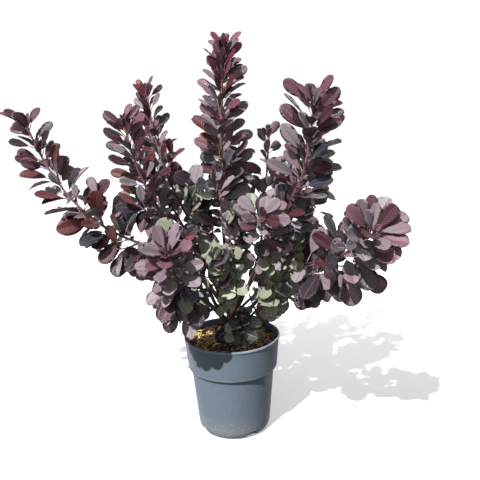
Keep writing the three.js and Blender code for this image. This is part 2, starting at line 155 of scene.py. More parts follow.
# Most that they tip, roll and bow, then where their rings lie, how wide these are and how that differs
CHIP |= {"tip": 0.35, "roll": 0.3, "bow": 0.12, "sides": 6}
CHIP |= {"rings": (-0.42, 0, 0.42), "widths": (0.7, 1, 0.65), "differ": (0.75, 1.2)}
# Rings and sides of each kind of limb
TRUNK_MESH, BOUGH_MESH, STEM_MESH, TWIG_MESH, STALK_MESH = (48, 28), (44, 16), (40, 10), (14, 7), (6, 5)
# How much a bough swells where it leaves the trunk and how quickly that dies out, then how much deeper the
# trunk's furrows are than a bough's and where their wandering starts
BOUGH_COLLAR = {"swell": 1.6, "fade": 16}
TRUNK_BARK = {"deeper": 1.6, "start": 0.3}
# How much a stem swells at its joints and how they follow each other, the places up to which it is ripe and
# turning, and how fast a twig's places run beside the stem's
JOINT = {"swell": 0.07, "step": 1.1}
RIPENESS = {"ripe": 0.35, "turning": 0.62, "twig": 0.6}
# Leaf stalks: radii from the limb to the blade, how far they sag and reach into the blade as shares of its
# length, the place from which they are young and the share of the others on the shoots that are as red
LEAF_STALK = {"radii": (1.35, 0.85, 0.75, 0.7, 0.7, 0.5), "sag": 0.05, "into": 0.05}
LEAF_STALK |= {"young": 0.88, "red": 0.35}
# What COARSE is to the leaves of the solids, for the smaller leaves
FINE = SimpleNamespace(sizes=(0.9, 0.74, 0.6, 0.46), turns=(0, 50, -50, 100, -100, 150), apart=0.3)
# Smaller leaves on the stem: the number of the first one and their stalks' share of the usual length
FINE_LEAF = {"first": 1000, "petiole": 0.6}
# Finer twigs: the number of the first leaf and the step to the next twig's, and the stretch of stem they fill
FINE_TWIG = {"first": 2000, "step": 50, "leaves": 6, "length": (30, 52), "turns": (0, 60, -60, 120, 180)}
FINE_TWIG |= {"inner_span": (0.3, 0.95), "shoot_span": (0.06, 0.5)}
# Young leaves folded together at the tip of each stem
BUD = {"leaves": 9, "length": (25, 13), "vary": 0.3, "upright": (0.35, 0.8), "stem": 16, "first": 1500}
BUD |= {"petiole": 0.3, "width": 0.6}
ROSETTES = {"right_front", "left_low", "centre_front"}
# Width of a blade at the shoot's foot and tip as shares of its length, what a draw adds to it, then the
# roundness of its base and what a draw adds to that
BLADE_SHAPES = {
    "inner": ((0.8, 0.8), 0.16, 0.6, 0.1),
    "rosette": ((0.6, 0.6), 0.1, 0.9, 0.15),
    "shoot": ((0.66, 0.5), 0.08, 0.78, 0.15),
}
# How far a blade is folded, bent back and rippled: the least and what a draw adds
BLADE_BENDS = {"fold": (0.12, 0.3), "curl": (-0.05, 0.24), "ripple": (0.02, 0.06)}
# Share of their width that the blades of some shoots have
NARROWER = {"leader": 0.75, "left_back": 0.75, "left_front": 0.79, "right": 0.84}
# Share of the smaller leaves that a mass has, where it isn't 1
DENSER = {"leader": 2.7, "right": 1.5, "far_left": 1.25, "left_front": 1.1, "left_back": 1.1}
DENSER |= {"right_front": 0.9, "left_low": 0.8, "right_thin": 0.6, "centre_front": 0.6}
DENSER |= {"inner_back": 0.3, "inner_back_right": 0.3, "inner_front": 0.15}
DENSER |= {"inner_low": 0.1, "inner_right": 0.1}
DENSER |= dict.fromkeys(("inner_left", "inner_side", "inner_upper", "inner_top", "inner_back_left"), 0.5)
# Side veins: how many on each side, how far they lean forward, how high they rise beside the net between
# them, and the net's size in millimetres
VEINS = {"pairs": 9, "slant": 0.62, "rise": 0.35, "net": 1.8}

# The repeatable draws

# What each one is for, so that no two draws of one leaf or twig are alike
DRAW = {"turn": 1, "angle": 2, "length": 3, "roll": 4, "twig": 9, "fine_twig": 12, "fine_length": 13}
DRAW |= {"mix": 21, "blade": range(22, 28), "stalk": 31, "bud": 41}
# The sine's weights for its three numbers, and the factor that brings up its far digits
CHANCE = (127.1, 311.7, 74.7)
DIGITS = 43758.5453

UP = np.array([0.0, 0.0, 1.0])
SIDE = np.array([0.0, 1.0, 0.0])
# The way that leaves turn their upper face, mirrored for masses whose tip lies further back than BACK
LIGHT = np.array([-0.1, -0.85, 0.5])
BACK = 66

# The camera: where it stands, how far it is turned right, tipped down and rolled, and its focal length
CAMERA = {"place": (0, -1020.48, 604.64), "yaw": 1.22145, "pitch": 12.20992, "roll": 1.7, "lens": 40.755}

# The stage, in metres: half the floor's width, what most lamps look at, and for each lamp its place, what it
# looks at, its size with 0 for the sun, the setting that gives its power, its share of that and its colour
FLOOR_HALF = 6.0
MIDDLE = (0, 0, 0.4)
LAMPS = {
    "key_light": ((-1.02, -1.68, 2.67), MIDDLE, 0, "key", 1, (1.0, 0.98, 0.95)),
    "sky_fill": ((0, 0.2, 2.6), MIDDLE, 2.6, "fill", 1, (0.94, 0.97, 1.0)),
    "front_fill": ((-0.6, -2.6, 1.3), MIDDLE, 1.6, "fill", 1.2, (1, 1, 1)),
    "back_fill": ((0.2, 2.6, 1.4), MIDDLE, 1.6, "fill", 1, (1, 1, 1)),
    "floor_wash": ((0.5, 1.6, 0.8), (0.45, 0.4, 0), 0.8, "wash", 1, (1, 1, 1)),
}

# Colours

# Upper face of each kind of leaf, from the young ones at the tips to the old ones low inside
LEAF_TINTS = {
    "crimson_young": "#651f2c",
    "rose_young": "#674350",
    # red_brown is the leaves' own red and partly painted light: the glow of sun shining through thin leaves
    "red_brown": "#501f21",
    "wine": "#3d1821",
    "mauve": "#6d5c66",
    "pale_mauve": "#80767c",
    "slate": "#4d4b53",
    "plum": "#2a1e27",
    "night_blue": "#252733",
    "pale_green": "#989b88",
    "grey_green": "#7e826e",
    "dark_green": "#292d27",
}

# The kinds with a thick bloom, and those with a pale midrib
BLOOMY = ("mauve", "pale_mauve", "grey_green", "pale_green")
GREEN = ("pale_green", "grey_green", "dark_green")
# Roughness and bloom of the upper face of bloomy leaves and of the others
FINISH = {"bloomy": (0.5, 0.55), "clean": (0.42, 0.1)}
# The under side is greyer: the grey, its share and the roughness
UNDER_SIDE = {"grey": "#8f7c80", "share": 0.22, "roughness": 0.62}
# Shares of the kinds of leaf, each row up to a place along the shoot from its foot at 0 to its tip at 1
SPIKE_MIX = [
    (0.22, dict(plum=0.8, night_blue=0.6, slate=1, pale_mauve=3.5, grey_green=2, mauve=2)),
    (0.45, dict(plum=0.8, slate=1.2, mauve=3, pale_mauve=3.6, wine=0.5, rose_young=1.6, red_brown=0.6)),
    (0.72, dict(red_brown=2, wine=0.7, mauve=3, pale_mauve=3.3, rose_young=2.5, crimson_young=0.7)),
    (0.93, dict(red_brown=1.5, wine=1.2, mauve=3, rose_young=3, crimson_young=1.5, pale_mauve=1.3)),
    (1.1, dict(crimson_young=2.5, rose_young=3, wine=1, mauve=0.7)),
]
WARM_MIX = [
    (0.28, dict(plum=3, dark_green=1.5, night_blue=1, wine=2, mauve=1, grey_green=1)),
    (0.6, dict(wine=3, red_brown=2.5, plum=2.4, mauve=1.2, pale_mauve=1.5)),
    (0.93, dict(wine=3, red_brown=3, plum=1.3, mauve=1.2, pale_mauve=1.5, rose_young=0.8)),
    (1.1, dict(crimson_young=2.5, rose_young=1.5, wine=1.5, mauve=0.5)),
]
COOL_MIX = [
    (0.3, dict(plum=3, night_blue=2.6, slate=1.2, pale_mauve=2.6, dark_green=1)),
    (0.6, dict(plum=4, night_blue=3, slate=0.8, mauve=1, pale_mauve=3, wine=1)),
    (0.93, dict(wine=3.2, plum=3, mauve=2, pale_mauve=2.4, night_blue=0.7)),
    (1.1, dict(crimson_young=0.3, rose_young=1.5, wine=1.5, mauve=3)),
]
# The lowest leaves of this rosette are mostly near-black plum: their own colour and partly painted shade from
# the leaves above them
ROSETTE_MIX = [
    (0.5, dict(mauve=1.5, plum=6, pale_mauve=2, wine=2.5)),
    (0.7, dict(mauve=3.5, plum=4, pale_mauve=3, wine=1.5)),
    (0.93, dict(mauve=4, pale_mauve=3, wine=1, plum=1.5)),
    (0.99, dict(rose_young=2, mauve=3, wine=1)),
    (1.1, dict(crimson_young=0.2, rose_young=2, wine=1.4, mauve=1.5)),
]
GREY_ROSETTE_MIX = [
    (0.6, dict(grey_green=3, pale_mauve=2, mauve=2, plum=1.5, dark_green=1.2)),
    (1.1, dict(mauve=4, pale_mauve=2, wine=2, plum=1, rose_young=1)),
]
PINK_ROSETTE_MIX = [
    (0.5, dict(plum=2.5, wine=1.2, mauve=4, pale_mauve=2.5, grey_green=1)),
    (0.93, dict(mauve=4.5, plum=2, pale_mauve=2.2, wine=1.6)),
    (1.1, dict(mauve=3, rose_young=2.4, crimson_young=0.3, wine=1.5)),
]
INNER_LOW_MIX = [(1.1, dict(pale_green=7.5, grey_green=1.8, dark_green=0.6, pale_mauve=1.5))]
# Dark greens for the leaves low over the soil, in the crown's shade: painted shade, for which dark_green is
# near black
SHADE_MIX = [
    (0.55, dict(dark_green=6, plum=1.5, grey_green=1)),
    (1.1, dict(dark_green=5, grey_green=2)),
]
INNER_HIGH_MIX = [(1.1, dict(plum=2, night_blue=1, slate=1.5, pale_mauve=2.2, dark_green=1.8, grey_green=4))]
# Leaves on a twig take the colours of a stretch of the stem, given by its start and length
TWIG_PLACE = {"start": 0.4, "length": 0.3}
# How far the places of the mixes run into each other, and the height up to which an inner leaf wears the
# low mix
MIX_BLUR, LOW_LEAVES = 0.08, 335
# The masses with a mix of their own. The others wear that of the spikes or of the inner foliage
MIXES = {
    "far_left": WARM_MIX,
    "left_front": WARM_MIX,
    "left_back": WARM_MIX,
    "right": COOL_MIX,
    "right_thin": COOL_MIX,
    "back_right": COOL_MIX,
    "right_front": ROSETTE_MIX,
    "left_low": PINK_ROSETTE_MIX,
    "centre_front": GREY_ROSETTE_MIX,
    "inner_low": SHADE_MIX,
}


def linear(code):
    """A hex sRGB colour as linear red, green, blue and full alpha."""
    parts = [int(code[i : i + 2], 16) / 255 for i in (1, 3, 5)]
    return tuple(c / 12.92 if c <= 0.04045 else ((c + 0.055) / 1.055) ** 2.4 for c in parts) + (1.0,)


def colour_setting(name, description, code):
    """A colour that a user can change, with a hex sRGB colour as its default."""
    return bpy.props.FloatVectorProperty(
        name=name, description=description, subtype="COLOR", size=3, min=0, max=1, default=linear(code)[:3]
    )


# Curves, limbs and repeatable chance


def chance(j, i, k):
    """A repeatable number from 0 to 1: the digits far behind the point of a sine."""
    value = math.sin(j * CHANCE[0] + i * CHANCE[1] + k * CHANCE[2]) * DIGITS
    return value - math.floor(value)


def swing(j, i, k):
    """A repeatable number from -0.5 to 0.5."""
    return chance(j, i, k) - 0.5


def lerp(a, b, s):
    """The way from a to b by the share s."""
    return a + (b - a) * s


def unit(v):
    """A vector or rows of vectors divided by their length."""
    return v / np.linalg.norm(v, axis=-1, keepdims=True)


def bezier(points, s):
    """Points at the shares s of a curve: each round of averaging leaves one control point fewer."""
    s = np.asarray(s, float)[..., None]
    layer = [np.asarray(p, float) for p in points]
    while len(layer) > 1:
        layer = [a * (1 - s) + b * s for a, b in zip(layer, layer[1:])]
    return layer[0]


def tangent(points, s):
    """Direction of the curve at s, from two points a short step before and behind."""
    s = np.asarray(s, float)
    return unit(bezier(points, np.minimum(s + 1e-4, 1)) - bezier(points, np.maximum(s - 1e-4, 0)))


def across(along):
    """Two directions square to a limb's own direction."""
    u = unit(np.cross(along, SIDE))
    return u, unit(np.cross(along, u))


def tube(curve, stations, radii, sides):
    """Closed limb: at each station a ring of points at the radius round the curve, and a point at each end.

    radii has a row for each station and a column for each side, or one column.
    """
    along = tangent(curve, stations)
    u, v = across(along)
    angle = np.linspace(0, 2 * np.pi, sides, endpoint=False)
    ring = np.cos(angle)[None, :, None] * u[:, None] + np.sin(angle)[None, :, None] * v[:, None]
    middle = bezier(curve, stations)
    points = middle[:, None] + ring * np.broadcast_to(radii, (len(stations), sides))[..., None]
    return np.vstack([points.reshape(-1, 3), middle[:1], middle[-1:]]), ring_faces(len(stations), sides)


@functools.lru_cache(maxsize=None)
def ring_faces(rings, sides):
    """Faces of rings joined in order, with a fan to the point before the first and after the last."""
    side = np.arange(sides)
    after = (side + 1) % sides
    start = np.arange(rings - 1)[:, None] * sides
    quads = [start + side, start + after, start + sides + after, start + sides + side]
    quads = np.stack(quads, -1).reshape(-1, 4)
    first, last = rings * sides, rings * sides + 1
    foot = np.stack([np.full(sides, first), after, side], -1)
    top = (rings - 1) * sides
    end = np.stack([top + side, top + after, np.full(sides, last)], -1)
    return quads, np.vstack([foot, end])


# Meshes and materials


class Pile:
    """Points, faces, slots and UVs of many small shapes that become one mesh."""

    def __init__(self):
        self.points, self.uv, self.faces, self.slots, self.count = [], [], [], [], 0

    def add(self, points, faces, slots, uv=None):
        """faces is a list of arrays with one row a face, slots one number or an array for each of them."""
        self.points.append(points)
        self.uv.append(np.zeros((len(points), 2)) if uv is None else uv)
        for rows, slot in zip(faces, slots):
            self.faces += (rows + self.count).tolist()
            self.slots.append(np.broadcast_to(slot, len(rows)))
        self.count += len(points)

    def build(self, name, materials, node_names, body="root"):
        """The pile as one object with only the materials that its faces wear."""
        mesh = bpy.data.meshes.new(name)
        mesh.from_pydata(np.vstack(self.points) * 0.001, [], self.faces)
        worn, index = np.unique(np.concatenate(self.slots), return_inverse=True)
        for number in worn:
            mesh.materials.append(materials[number])
        mesh.polygons.foreach_set("material_index", index.astype(np.int32))
        mesh.polygons.foreach_set("use_smooth", np.ones(len(mesh.polygons), bool))
        corner = np.empty(len(mesh.loops), np.int32)
        mesh.loops.foreach_get("vertex_index", corner)
        mesh.uv_layers.new(name="UVMap").data.foreach_set("uv", np.vstack(self.uv)[corner].ravel())
        mesh.update()
        piece = bpy.data.objects.new(name, mesh)
        bpy.context.scene.collection.objects.link(piece)
        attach(piece, body)
        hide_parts(*node_names)
        return piece


def add(tree, kind, inputs=(), **settings):
    """A node with its settings, and its inputs by name or number as values or as sockets to link from."""
    made = tree.nodes.new(kind)
    for name, value in settings.items():
        setattr(made, name, value)
    for key, value in dict(inputs).items():
        if isinstance(value, bpy.types.NodeSocket):
            tree.links.new(value, made.inputs[key])
        else:
            made.inputs[key].default_value = value
    return made


def new_material(name):
    """An empty material with its tree and the Principled node that is its surface."""
    made = bpy.data.materials.new(name)
    made.use_nodes = True
    made.node_tree.nodes.clear()
    shader = add(made.node_tree, "ShaderNodeBsdfPrincipled")
    add(made.node_tree, "ShaderNodeOutputMaterial", {"Surface": shader.outputs[0]})
    return made, made.node_tree, shader


def spots(tree, coords, size_mm, detail, low, high):
    """Noise with spots of a real size, spread from low to high."""
    noise = add(tree, "ShaderNodeTexNoise", {"Vector": coords, "Scale": 1000 / size_mm, "Detail": detail})
    span = {"Value": noise.outputs["Fac"], "From Min": 0.3, "From Max": 0.7, "To Min": low, "To Max": high}
    return add(tree, "ShaderNodeMapRange", span).outputs[0]


def layered(tree, ground, layers):
    """The ground colour with each layer's colour laid over it in turn, as far as its share from 0 to 1."""
    colour = ground
    # A colour mix has its share at input 0, its two colours at 6 and 7 and what it makes at output 2
    for share, over in layers:
        mixed = add(tree, "ShaderNodeMix", {0: share, 6: colour, 7: over}, data_type="RGBA")
        colour = mixed.outputs[2]
    return colour


def leaf_material(name, colour, roughness, bloom=0.35):
    """Living leaf with a thin waxy bloom: satin, with side veins that only show as relief.

    The side veins are waves of the way along the blade less a share of the way aside, so that they run
    out from the middle and forward. A fine net lies between them.
    """
    made, tree, shader = new_material(name)
    shader.inputs["Base Color"].default_value = colour
    shader.inputs["IOR"].default_value = 1.42
    uv = add(tree, "ShaderNodeTexCoord").outputs["UV"]
    own = add(tree, "ShaderNodeTexCoord").outputs["Object"]
    parts = add(tree, "ShaderNodeSeparateXYZ", {0: uv})
    aside = add(tree, "ShaderNodeMath", {0: parts.outputs[0], 1: 0.5}, operation="SUBTRACT")
    aside = add(tree, "ShaderNodeMath", {0: aside.outputs[0]}, operation="ABSOLUTE")
    forward = {0: aside.outputs[0], 1: -VEINS["slant"], 2: parts.outputs[1]}
    slant = add(tree, "ShaderNodeMath", forward, operation="MULTIPLY_ADD")
    waves = {0: slant.outputs[0], 1: VEINS["pairs"] * 2 * math.pi}
    turns = add(tree, "ShaderNodeMath", waves, operation="MULTIPLY")
    wave = add(tree, "ShaderNodeMath", {0: turns.outputs[0]}, operation="SINE")
    net = add(tree, "ShaderNodeTexNoise", {"Vector": own, "Scale": 1000 / VEINS["net"], "Detail": 2.0})
    heights = {0: wave.outputs[0], 1: VEINS["rise"], 2: net.outputs["Fac"]}
    relief = add(tree, "ShaderNodeMath", heights, operation="MULTIPLY_ADD")
    bump = add(tree, "ShaderNodeBump", {"Height": relief.outputs[0], "Strength": 0.5, "Distance": 0.0007})
    tree.links.new(bump.outputs[0], shader.inputs["Normal"])
    tree.links.new(spots(tree, own, 9, 2, roughness - 0.08, roughness + 0.1), shader.inputs["Roughness"])
    # The bloom lies in small clouds and is rubbed off along the side veins
    cloud = spots(tree, own, 6, 4, 0.0, 1.0)
    wear = {"Value": wave.outputs[0], "From Min": -1.0, "From Max": 1.0, "To Min": 0.35, "To Max": 1.0}
    rubbed = add(tree, "ShaderNodeMapRange", wear)
    weight = add(tree, "ShaderNodeMath", {0: cloud, 1: rubbed.outputs[0]}, operation="MULTIPLY")
    weight = add(tree, "ShaderNodeMath", {0: weight.outputs[0], 1: bloom}, operation="MULTIPLY")
    tree.links.new(weight.outputs[0], shader.inputs["Sheen Weight"])
    shader.inputs["Sheen Roughness"].default_value = 0.6
    shader.inputs["Sheen Tint"].default_value = (0.82, 0.78, 0.84, 1.0)
    return made


def softwood_material(name, colour, roughness=0.6):
    """Skin of a young shoot or leaf stalk: smooth and slightly waxy, with fine warts."""
    made, tree, shader = new_material(name)
    shader.inputs["Base Color"].default_value = colour
    own = add(tree, "ShaderNodeTexCoord").outputs["Object"]
    tree.links.new(spots(tree, own, 4, 2, roughness - 0.1, roughness + 0.1), shader.inputs["Roughness"])
    grain = add(tree, "ShaderNodeTexNoise", {"Vector": own, "Scale": 1000 / 0.8, "Detail": 1.0})
    bump = add(tree, "ShaderNodeBump", {"Height": grain.outputs["Fac"], "Strength": 0.3, "Distance": 0.0003})
    tree.links.new(bump.outputs[0], shader.inputs["Normal"])
    return made


# The growing rule


def looked_at(curve, kind):
    """The places of a curve that are looked at in the search for room."""
    first, number = PLACES[kind]
    return bezier(curve, np.linspace(first, 1, number))


def trunk_radius(s):
    """Even taper from waist to end, and a flare at the foot that dies out quickly."""
    flare = (TRUNK["flare"] - TRUNK["waist"]) * np.exp(-s / TRUNK["flare_height"])
    return lerp(TRUNK["waist"], TRUNK["end"], s) + flare


def trunk_point(height):
    """Point of the trunk's centre line at a height over the soil."""
    foot, top = np.array(TRUNK["foot"], float), np.array(TRUNK["top"], float)
    return lerp(foot, top, (height + SOIL["top"] - foot[2]) / (top[2] - foot[2]))


def bough_curve(height, stem):
    """Curve from the trunk to just before a shoot's foot, where it arrives in the shoot's direction."""
    way = tangent(stem, 0.0)
    foot = bezier(stem, 0.0) - way * GAP
    start = np.array(TRUNK["top"], float) + UP * GAP if height is None else trunk_point(height)
    span = np.linalg.norm(start - foot)
    out = (foot - start) * (1, 1, 0)
    leaving = UP if height is None else unit(unit(out) + UP)
    return [start, start + leaving * span * BOUGH["leave"], foot - way * span * BOUGH["arrive"], foot]


def twig_curve(stem, s, azimuth, length):
    """Side twig that leaves a stem at s, swept forward along it and then up."""
    start, along = bezier(stem, s), tangent(stem, s)
    u, v = across(along)
    angle = math.radians(TWIG["angle"])
    out = u * math.cos(azimuth) + v * math.sin(azimuth)
    way = along * math.cos(angle) + out * math.sin(angle)
    return [start, start + way * length / 2, start + way * length + UP * length * TWIG["sweep"]]


def growth(row, index):
    """Everything that one mass grows on: its stem, its twigs and the number of leaves on each."""
    name, height, foot, middle, tip, leaves, crowd, *shape, reach, twigs = row
    inner = foot is None
    stem = [trunk_point(height) if inner else foot, middle, tip]
    limbs = [SimpleNamespace(curve=stem, size=STEM, share=1, key=0)]
    for t in range(twigs):
        azimuth = math.radians(LEAF["turn"] * TWIG["turn"] * t) + swing(index, t, DRAW["twig"])
        curve = twig_curve(stem, lerp(*TWIG["span"], (t + 0.5) / twigs), azimuth, TWIG["length"])
        key = (t + 1) * TWIG["step"]
        limbs.append(SimpleNamespace(curve=curve, size=TWIG, share=TWIG["share"], key=key))
    whole = sum(one.share for one in limbs)
    for one in limbs:
        one.count = math.floor(leaves * one.share / whole + 0.5)
    return SimpleNamespace(
        name=name,
        index=index,
        inner=inner,
        facing=np.array([1, -1 if tip[1] > BACK else 1, 1]),
        stem=stem,
        limbs=limbs,
        reach=reach,
        crowd=crowd,
        length=shape[:2],
        angle=shape[2:],
        petiole=LEAF["inner_petiole"] if inner else LEAF["petiole"],
        bough=None if inner else bough_curve(height, stem),
        line=looked_at(stem, "inner_line" if inner else "line"),
        hearts=[],
        leaves=[],
        twigs=[],
    )


def all_masses():
    """The shoots and the inner foliage, with no leaves yet. Only the inner rows give a number of twigs."""
    rows = [(*row, 0) for row in SHOOTS]
    rows += [(name, height, None, *rest) for name, height, *rest in INNER]
    return [growth(row, index) for index, row in enumerate(rows)]


def room_for(masses):
    """The test whether points lie in one mass's own space, clear of the other limbs, the pot and the soil.

    A point is in the space of the mass whose stem is nearest, measured in that mass's reach.
    """
    lines = np.array([m.line for m in masses])
    reach = np.array([m.reach for m in masses])
    limbs = [(-1, TRUNK["waist"], looked_at([TRUNK["foot"], TRUNK["top"]], "trunk"))]
    limbs += [(-1, BOUGH["root"], looked_at(m.bough, "limb")) for m in masses if m.bough]
    limbs += [(m.index, STEM["root"], looked_at(m.stem, "limb")) for m in masses]
    owner = np.concatenate([[o] * len(p) for o, _, p in limbs])
    keep = np.concatenate([[r + CLEAR["limb"]] * len(p) for _, r, p in limbs])
    places = np.vstack([p for _, _, p in limbs])

    def is_free(points, mass):
        """Whether all the points lie in the mass's space."""
        gaps = np.linalg.norm(points[:, None, None] - lines, axis=-1).min(-1) / reach
        own = gaps[:, mass.index].copy()
        gaps[:, mass.index] = np.inf
        if (gaps.min(-1) < own + CLEAR["space"]).any():
            return False
        mine = owner != mass.index
        if (np.linalg.norm(points[:, None] - places[mine], axis=-1) < keep[mine]).any():
            return False
        out = np.hypot(points[:, 0], points[:, 1])
        over_soil = SOIL["top"] + SOIL["mound"] + CLEAR["soil"]
        floor = np.where(out < POT["rim"] - CLEAR["rim"], over_soil, POT["height"] + CLEAR["rim"])
        return bool(((points[:, 2] > floor) | (out > POT["rim"] + CLEAR["rim"])).all())

    return is_free


def leaf_pose(mass, curve, i, count, key, turn):
    """Where leaf i of a limb stands: its root, the ways of stalk and blade, its upper face and length.

    A power crowds the leaves to the tip. Each is turned a golden angle further than the one before and leans
    away from the limb, the less the further out it is. Its upper face turns to the light, less what lies
    along the blade, and then rolls a little. Every angle and length has a repeatable swing.
    """
    number = i + key
    s = lerp(LEAF["first"], 1, 1 - (1 - (i + 0.5) / count) ** mass.crowd)
    along = tangent(curve, s)
    right, front = across(along)
    around = LEAF["turn"] * number + VARY["turn"] * swing(mass.index, number, DRAW["turn"]) + turn
    azimuth = math.radians(around)
    angle = math.radians(lerp(*mass.angle, s) + VARY["angle"] * swing(mass.index, number, DRAW["angle"]))
    length = lerp(*mass.length, s) * (1 + VARY["length"] * swing(mass.index, number, DRAW["length"]))
    out = right * math.cos(azimuth) + front * math.sin(azimuth)
    way = along * math.cos(angle) + out * math.sin(angle)
    blade = unit(way + out * VARY["droop"])
    face = along * LEAF["lean"] + LIGHT * mass.facing
    face = unit(face - blade * (face @ blade))
    roll = math.radians(VARY["roll"] * swing(mass.index, number, DRAW["roll"]))
    face = face * math.cos(roll) + np.cross(blade, face) * math.sin(roll)
    root = bezier(curve, s)
    return SimpleNamespace(root=root, way=way, blade=blade, face=face, length=length, s=s, number=number)


# Where a blade is tested for room: shares of its length and of its half width
PROBES = [(share, aside) for share in (0, 0.3, LEAF["broad"], 0.8, 1) for aside in (-1, -0.5, 0, 0.5, 1)]
PROBE_SHARES, PROBE_ASIDES = np.array(PROBES).T


def leaf_at(pose, petiole, size, width):
    """The leaf of one pose at one size, with the points that have to be free.

    Its half width grows evenly from the neck to where it is broadest and shrinks evenly to its end.
    """
    length = pose.length * size
    half = length * width / 2
    neck = pose.root + pose.way * pose.length * petiole * size
    wide = np.cross(pose.blade, pose.face)
    broad = LEAF["broad"]
    shares = PROBE_SHARES
    half_at = np.where(
        shares < broad,
        lerp(LEAF["neck"], half, shares / broad),
        lerp(half, half * LEAF["end"], (shares - broad) / (1 - broad)),
    )
    probes = neck + pose.blade * (length * shares)[:, None] + wide * (half_at * PROBE_ASIDES)[:, None]
    return SimpleNamespace(
        pose=pose,
        neck=neck,
        wide=wide,
        length=length,
        heart=neck + pose.blade * length * broad,
        probes=np.vstack([lerp(pose.root, neck, LEAF["stalk_probe"]), probes]),
    )


def fitting_leaf(is_free, mass, curve, i, count, rule, key, petiole):
    """The leaf as long as there is room for, where it grows or turned round its limb, or None."""
    poses = {}
    for size in rule.sizes:
        for turn in rule.turns:
            if turn not in poses:
                poses[turn] = leaf_pose(mass, curve, i, count, key, turn)
            leaf = leaf_at(poses[turn], mass.petiole * petiole, size, LEAF["width"])
            near = mass.hearts and np.linalg.norm(np.array(mass.hearts) - leaf.heart, axis=-1).min()
            if mass.hearts and near <= leaf.length * rule.apart:
                continue
            if is_free(leaf.heart[None], mass) and is_free(leaf.probes, mass):
                mass.hearts.append(leaf.heart)
                return leaf
    return None


def grow_leaves(is_free, mass, limb, rule, key, count, first=0, petiole=1):
    """Leaves of a limb from its first to the last of its count, as far as each of them has room."""
    for i in range(first, count):
        leaf = fitting_leaf(is_free, mass, limb.curve, i, count, rule, key, petiole)
        if leaf:
            leaf.on_stem = limb is mass.limbs[0]
            mass.leaves.append(leaf)


def grow_limbs(is_free, mass):
    """The stem and those twigs of the solids that have room, with the leaves of the solids."""
    for limb in mass.limbs:
        if limb.key and not is_free(looked_at(limb.curve, "twig"), mass):
            continue
        mass.twigs.append(limb)
        first = math.floor(limb.count * LEAF["bare"]) if mass.inner and not limb.key else 0
        grow_leaves(is_free, mass, limb, COARSE, limb.key, limb.count, first)


def grow_finer_twigs(is_free, mass, number):
    """Finer twigs in even steps along the stem, each turned round it until it has room."""
    span = FINE_TWIG["inner_span"] if mass.inner else FINE_TWIG["shoot_span"]
    for t in range(number):
        s = lerp(*span, (t + 0.5) / number)
        azimuth = math.radians(LEAF["turn"] * (t + 0.4)) + swing(mass.index, t, DRAW["fine_twig"])
        length = lerp(*FINE_TWIG["length"], chance(mass.index, t, DRAW["fine_length"]))
        for turn in np.radians(FINE_TWIG["turns"]):
            curve = twig_curve(mass.stem, s, azimuth + turn, length)
            if is_free(looked_at(curve, "fine_twig"), mass):
                limb = SimpleNamespace(curve=curve, size=TWIG)
                mass.twigs.append(limb)
                key = FINE_TWIG["first"] + t * FINE_TWIG["step"]
                grow_leaves(is_free, mass, limb, FINE, key, FINE_TWIG["leaves"])
                break


def grow_bud(is_free, mass):
    """Young leaves round the tip of the stem, from the foot of the bud up ever shorter and more upright.

    A rosette has half as many of them.
    """
    tip, way = bezier(mass.stem, 1.0), tangent(mass.stem, 1.0)
    curve = [tip - way * BUD["stem"], tip]
    young = BUD["leaves"] if mass.name not in ROSETTES else BUD["leaves"] // 2
    for i in range(young):
        pose = leaf_pose(mass, curve, i, young, BUD["first"], 0)
        share = i / young
        pose.way = pose.blade = unit(lerp(pose.way, way, lerp(*BUD["upright"], share)))
        pose.face = unit(pose.face - pose.blade * (pose.face @ pose.blade))
        pose.length = lerp(*BUD["length"], share) * (1 + BUD["vary"] * swing(mass.index, i, DRAW["bud"]))
        pose.s = 1
        leaf = leaf_at(pose, BUD["petiole"], 1, BUD["width"])
        if is_free(leaf.probes, mass):
            leaf.on_stem = True
            mass.leaves.append(leaf)


@functools.lru_cache(maxsize=None)
def grown(fine_share, fine_twigs):
    """All masses with their leaves: first those of the solids, then finer twigs, buds and smaller leaves.

    fine_share is the number of smaller leaves for each leaf of the solids, fine_twigs the number of finer
    twigs on each inner stem. A shoot has half as many, and an inner stem whose share in DENSER is under a
    half has fewer too.
    """
    masses = all_masses()
    is_free = room_for(masses)
    for mass in masses:
        denser = DENSER.get(mass.name, 1)
        stem = mass.limbs[0]
        grow_limbs(is_free, mass)
        number = round(fine_twigs * min(1, 2 * denser)) if mass.inner else fine_twigs // 2
        grow_finer_twigs(is_free, mass, number)
        grow_bud(is_free, mass)
        count = round(stem.count * fine_share * denser)
        first = math.floor(count * LEAF["bare"]) if mass.inner else 0
        grow_leaves(is_free, mass, stem, FINE, FINE_LEAF["first"], count, first, FINE_LEAF["petiole"])
    return masses


# Leaf blades

# Across a blade: the upper face from side to side with the midrib in its middle, then back below. Along it:
# the shares of its length at which its rings lie
BLADE_ASIDE = np.array([-1, -0.52, -0.035, 0.035, 0.52, 1, 0.5, 0, -0.5])
BLADE_TOP = np.array([1, 1, 1, 1, 1, 1, 0, 0, 0], bool)
BLADE_SHARES = np.array([0.04, 0.15, 0.31, 0.48, 0.64, 0.79, 0.91, 0.98])
# The strip of faces that is the midrib, and the first one on the under side
RIB_STRIP = 2
UNDER_STRIPS = 5
# The margin's ripples: waves along the blade, their lean across it and the step from one blade to the next
RIPPLE = {"waves": 17, "lean": 2, "step": 1.7}
# Roundness of a blade's tip, and how much of its width a blade loses as it folds
ROUND_TIP, FOLD_LOSS = 0.5, 0.35


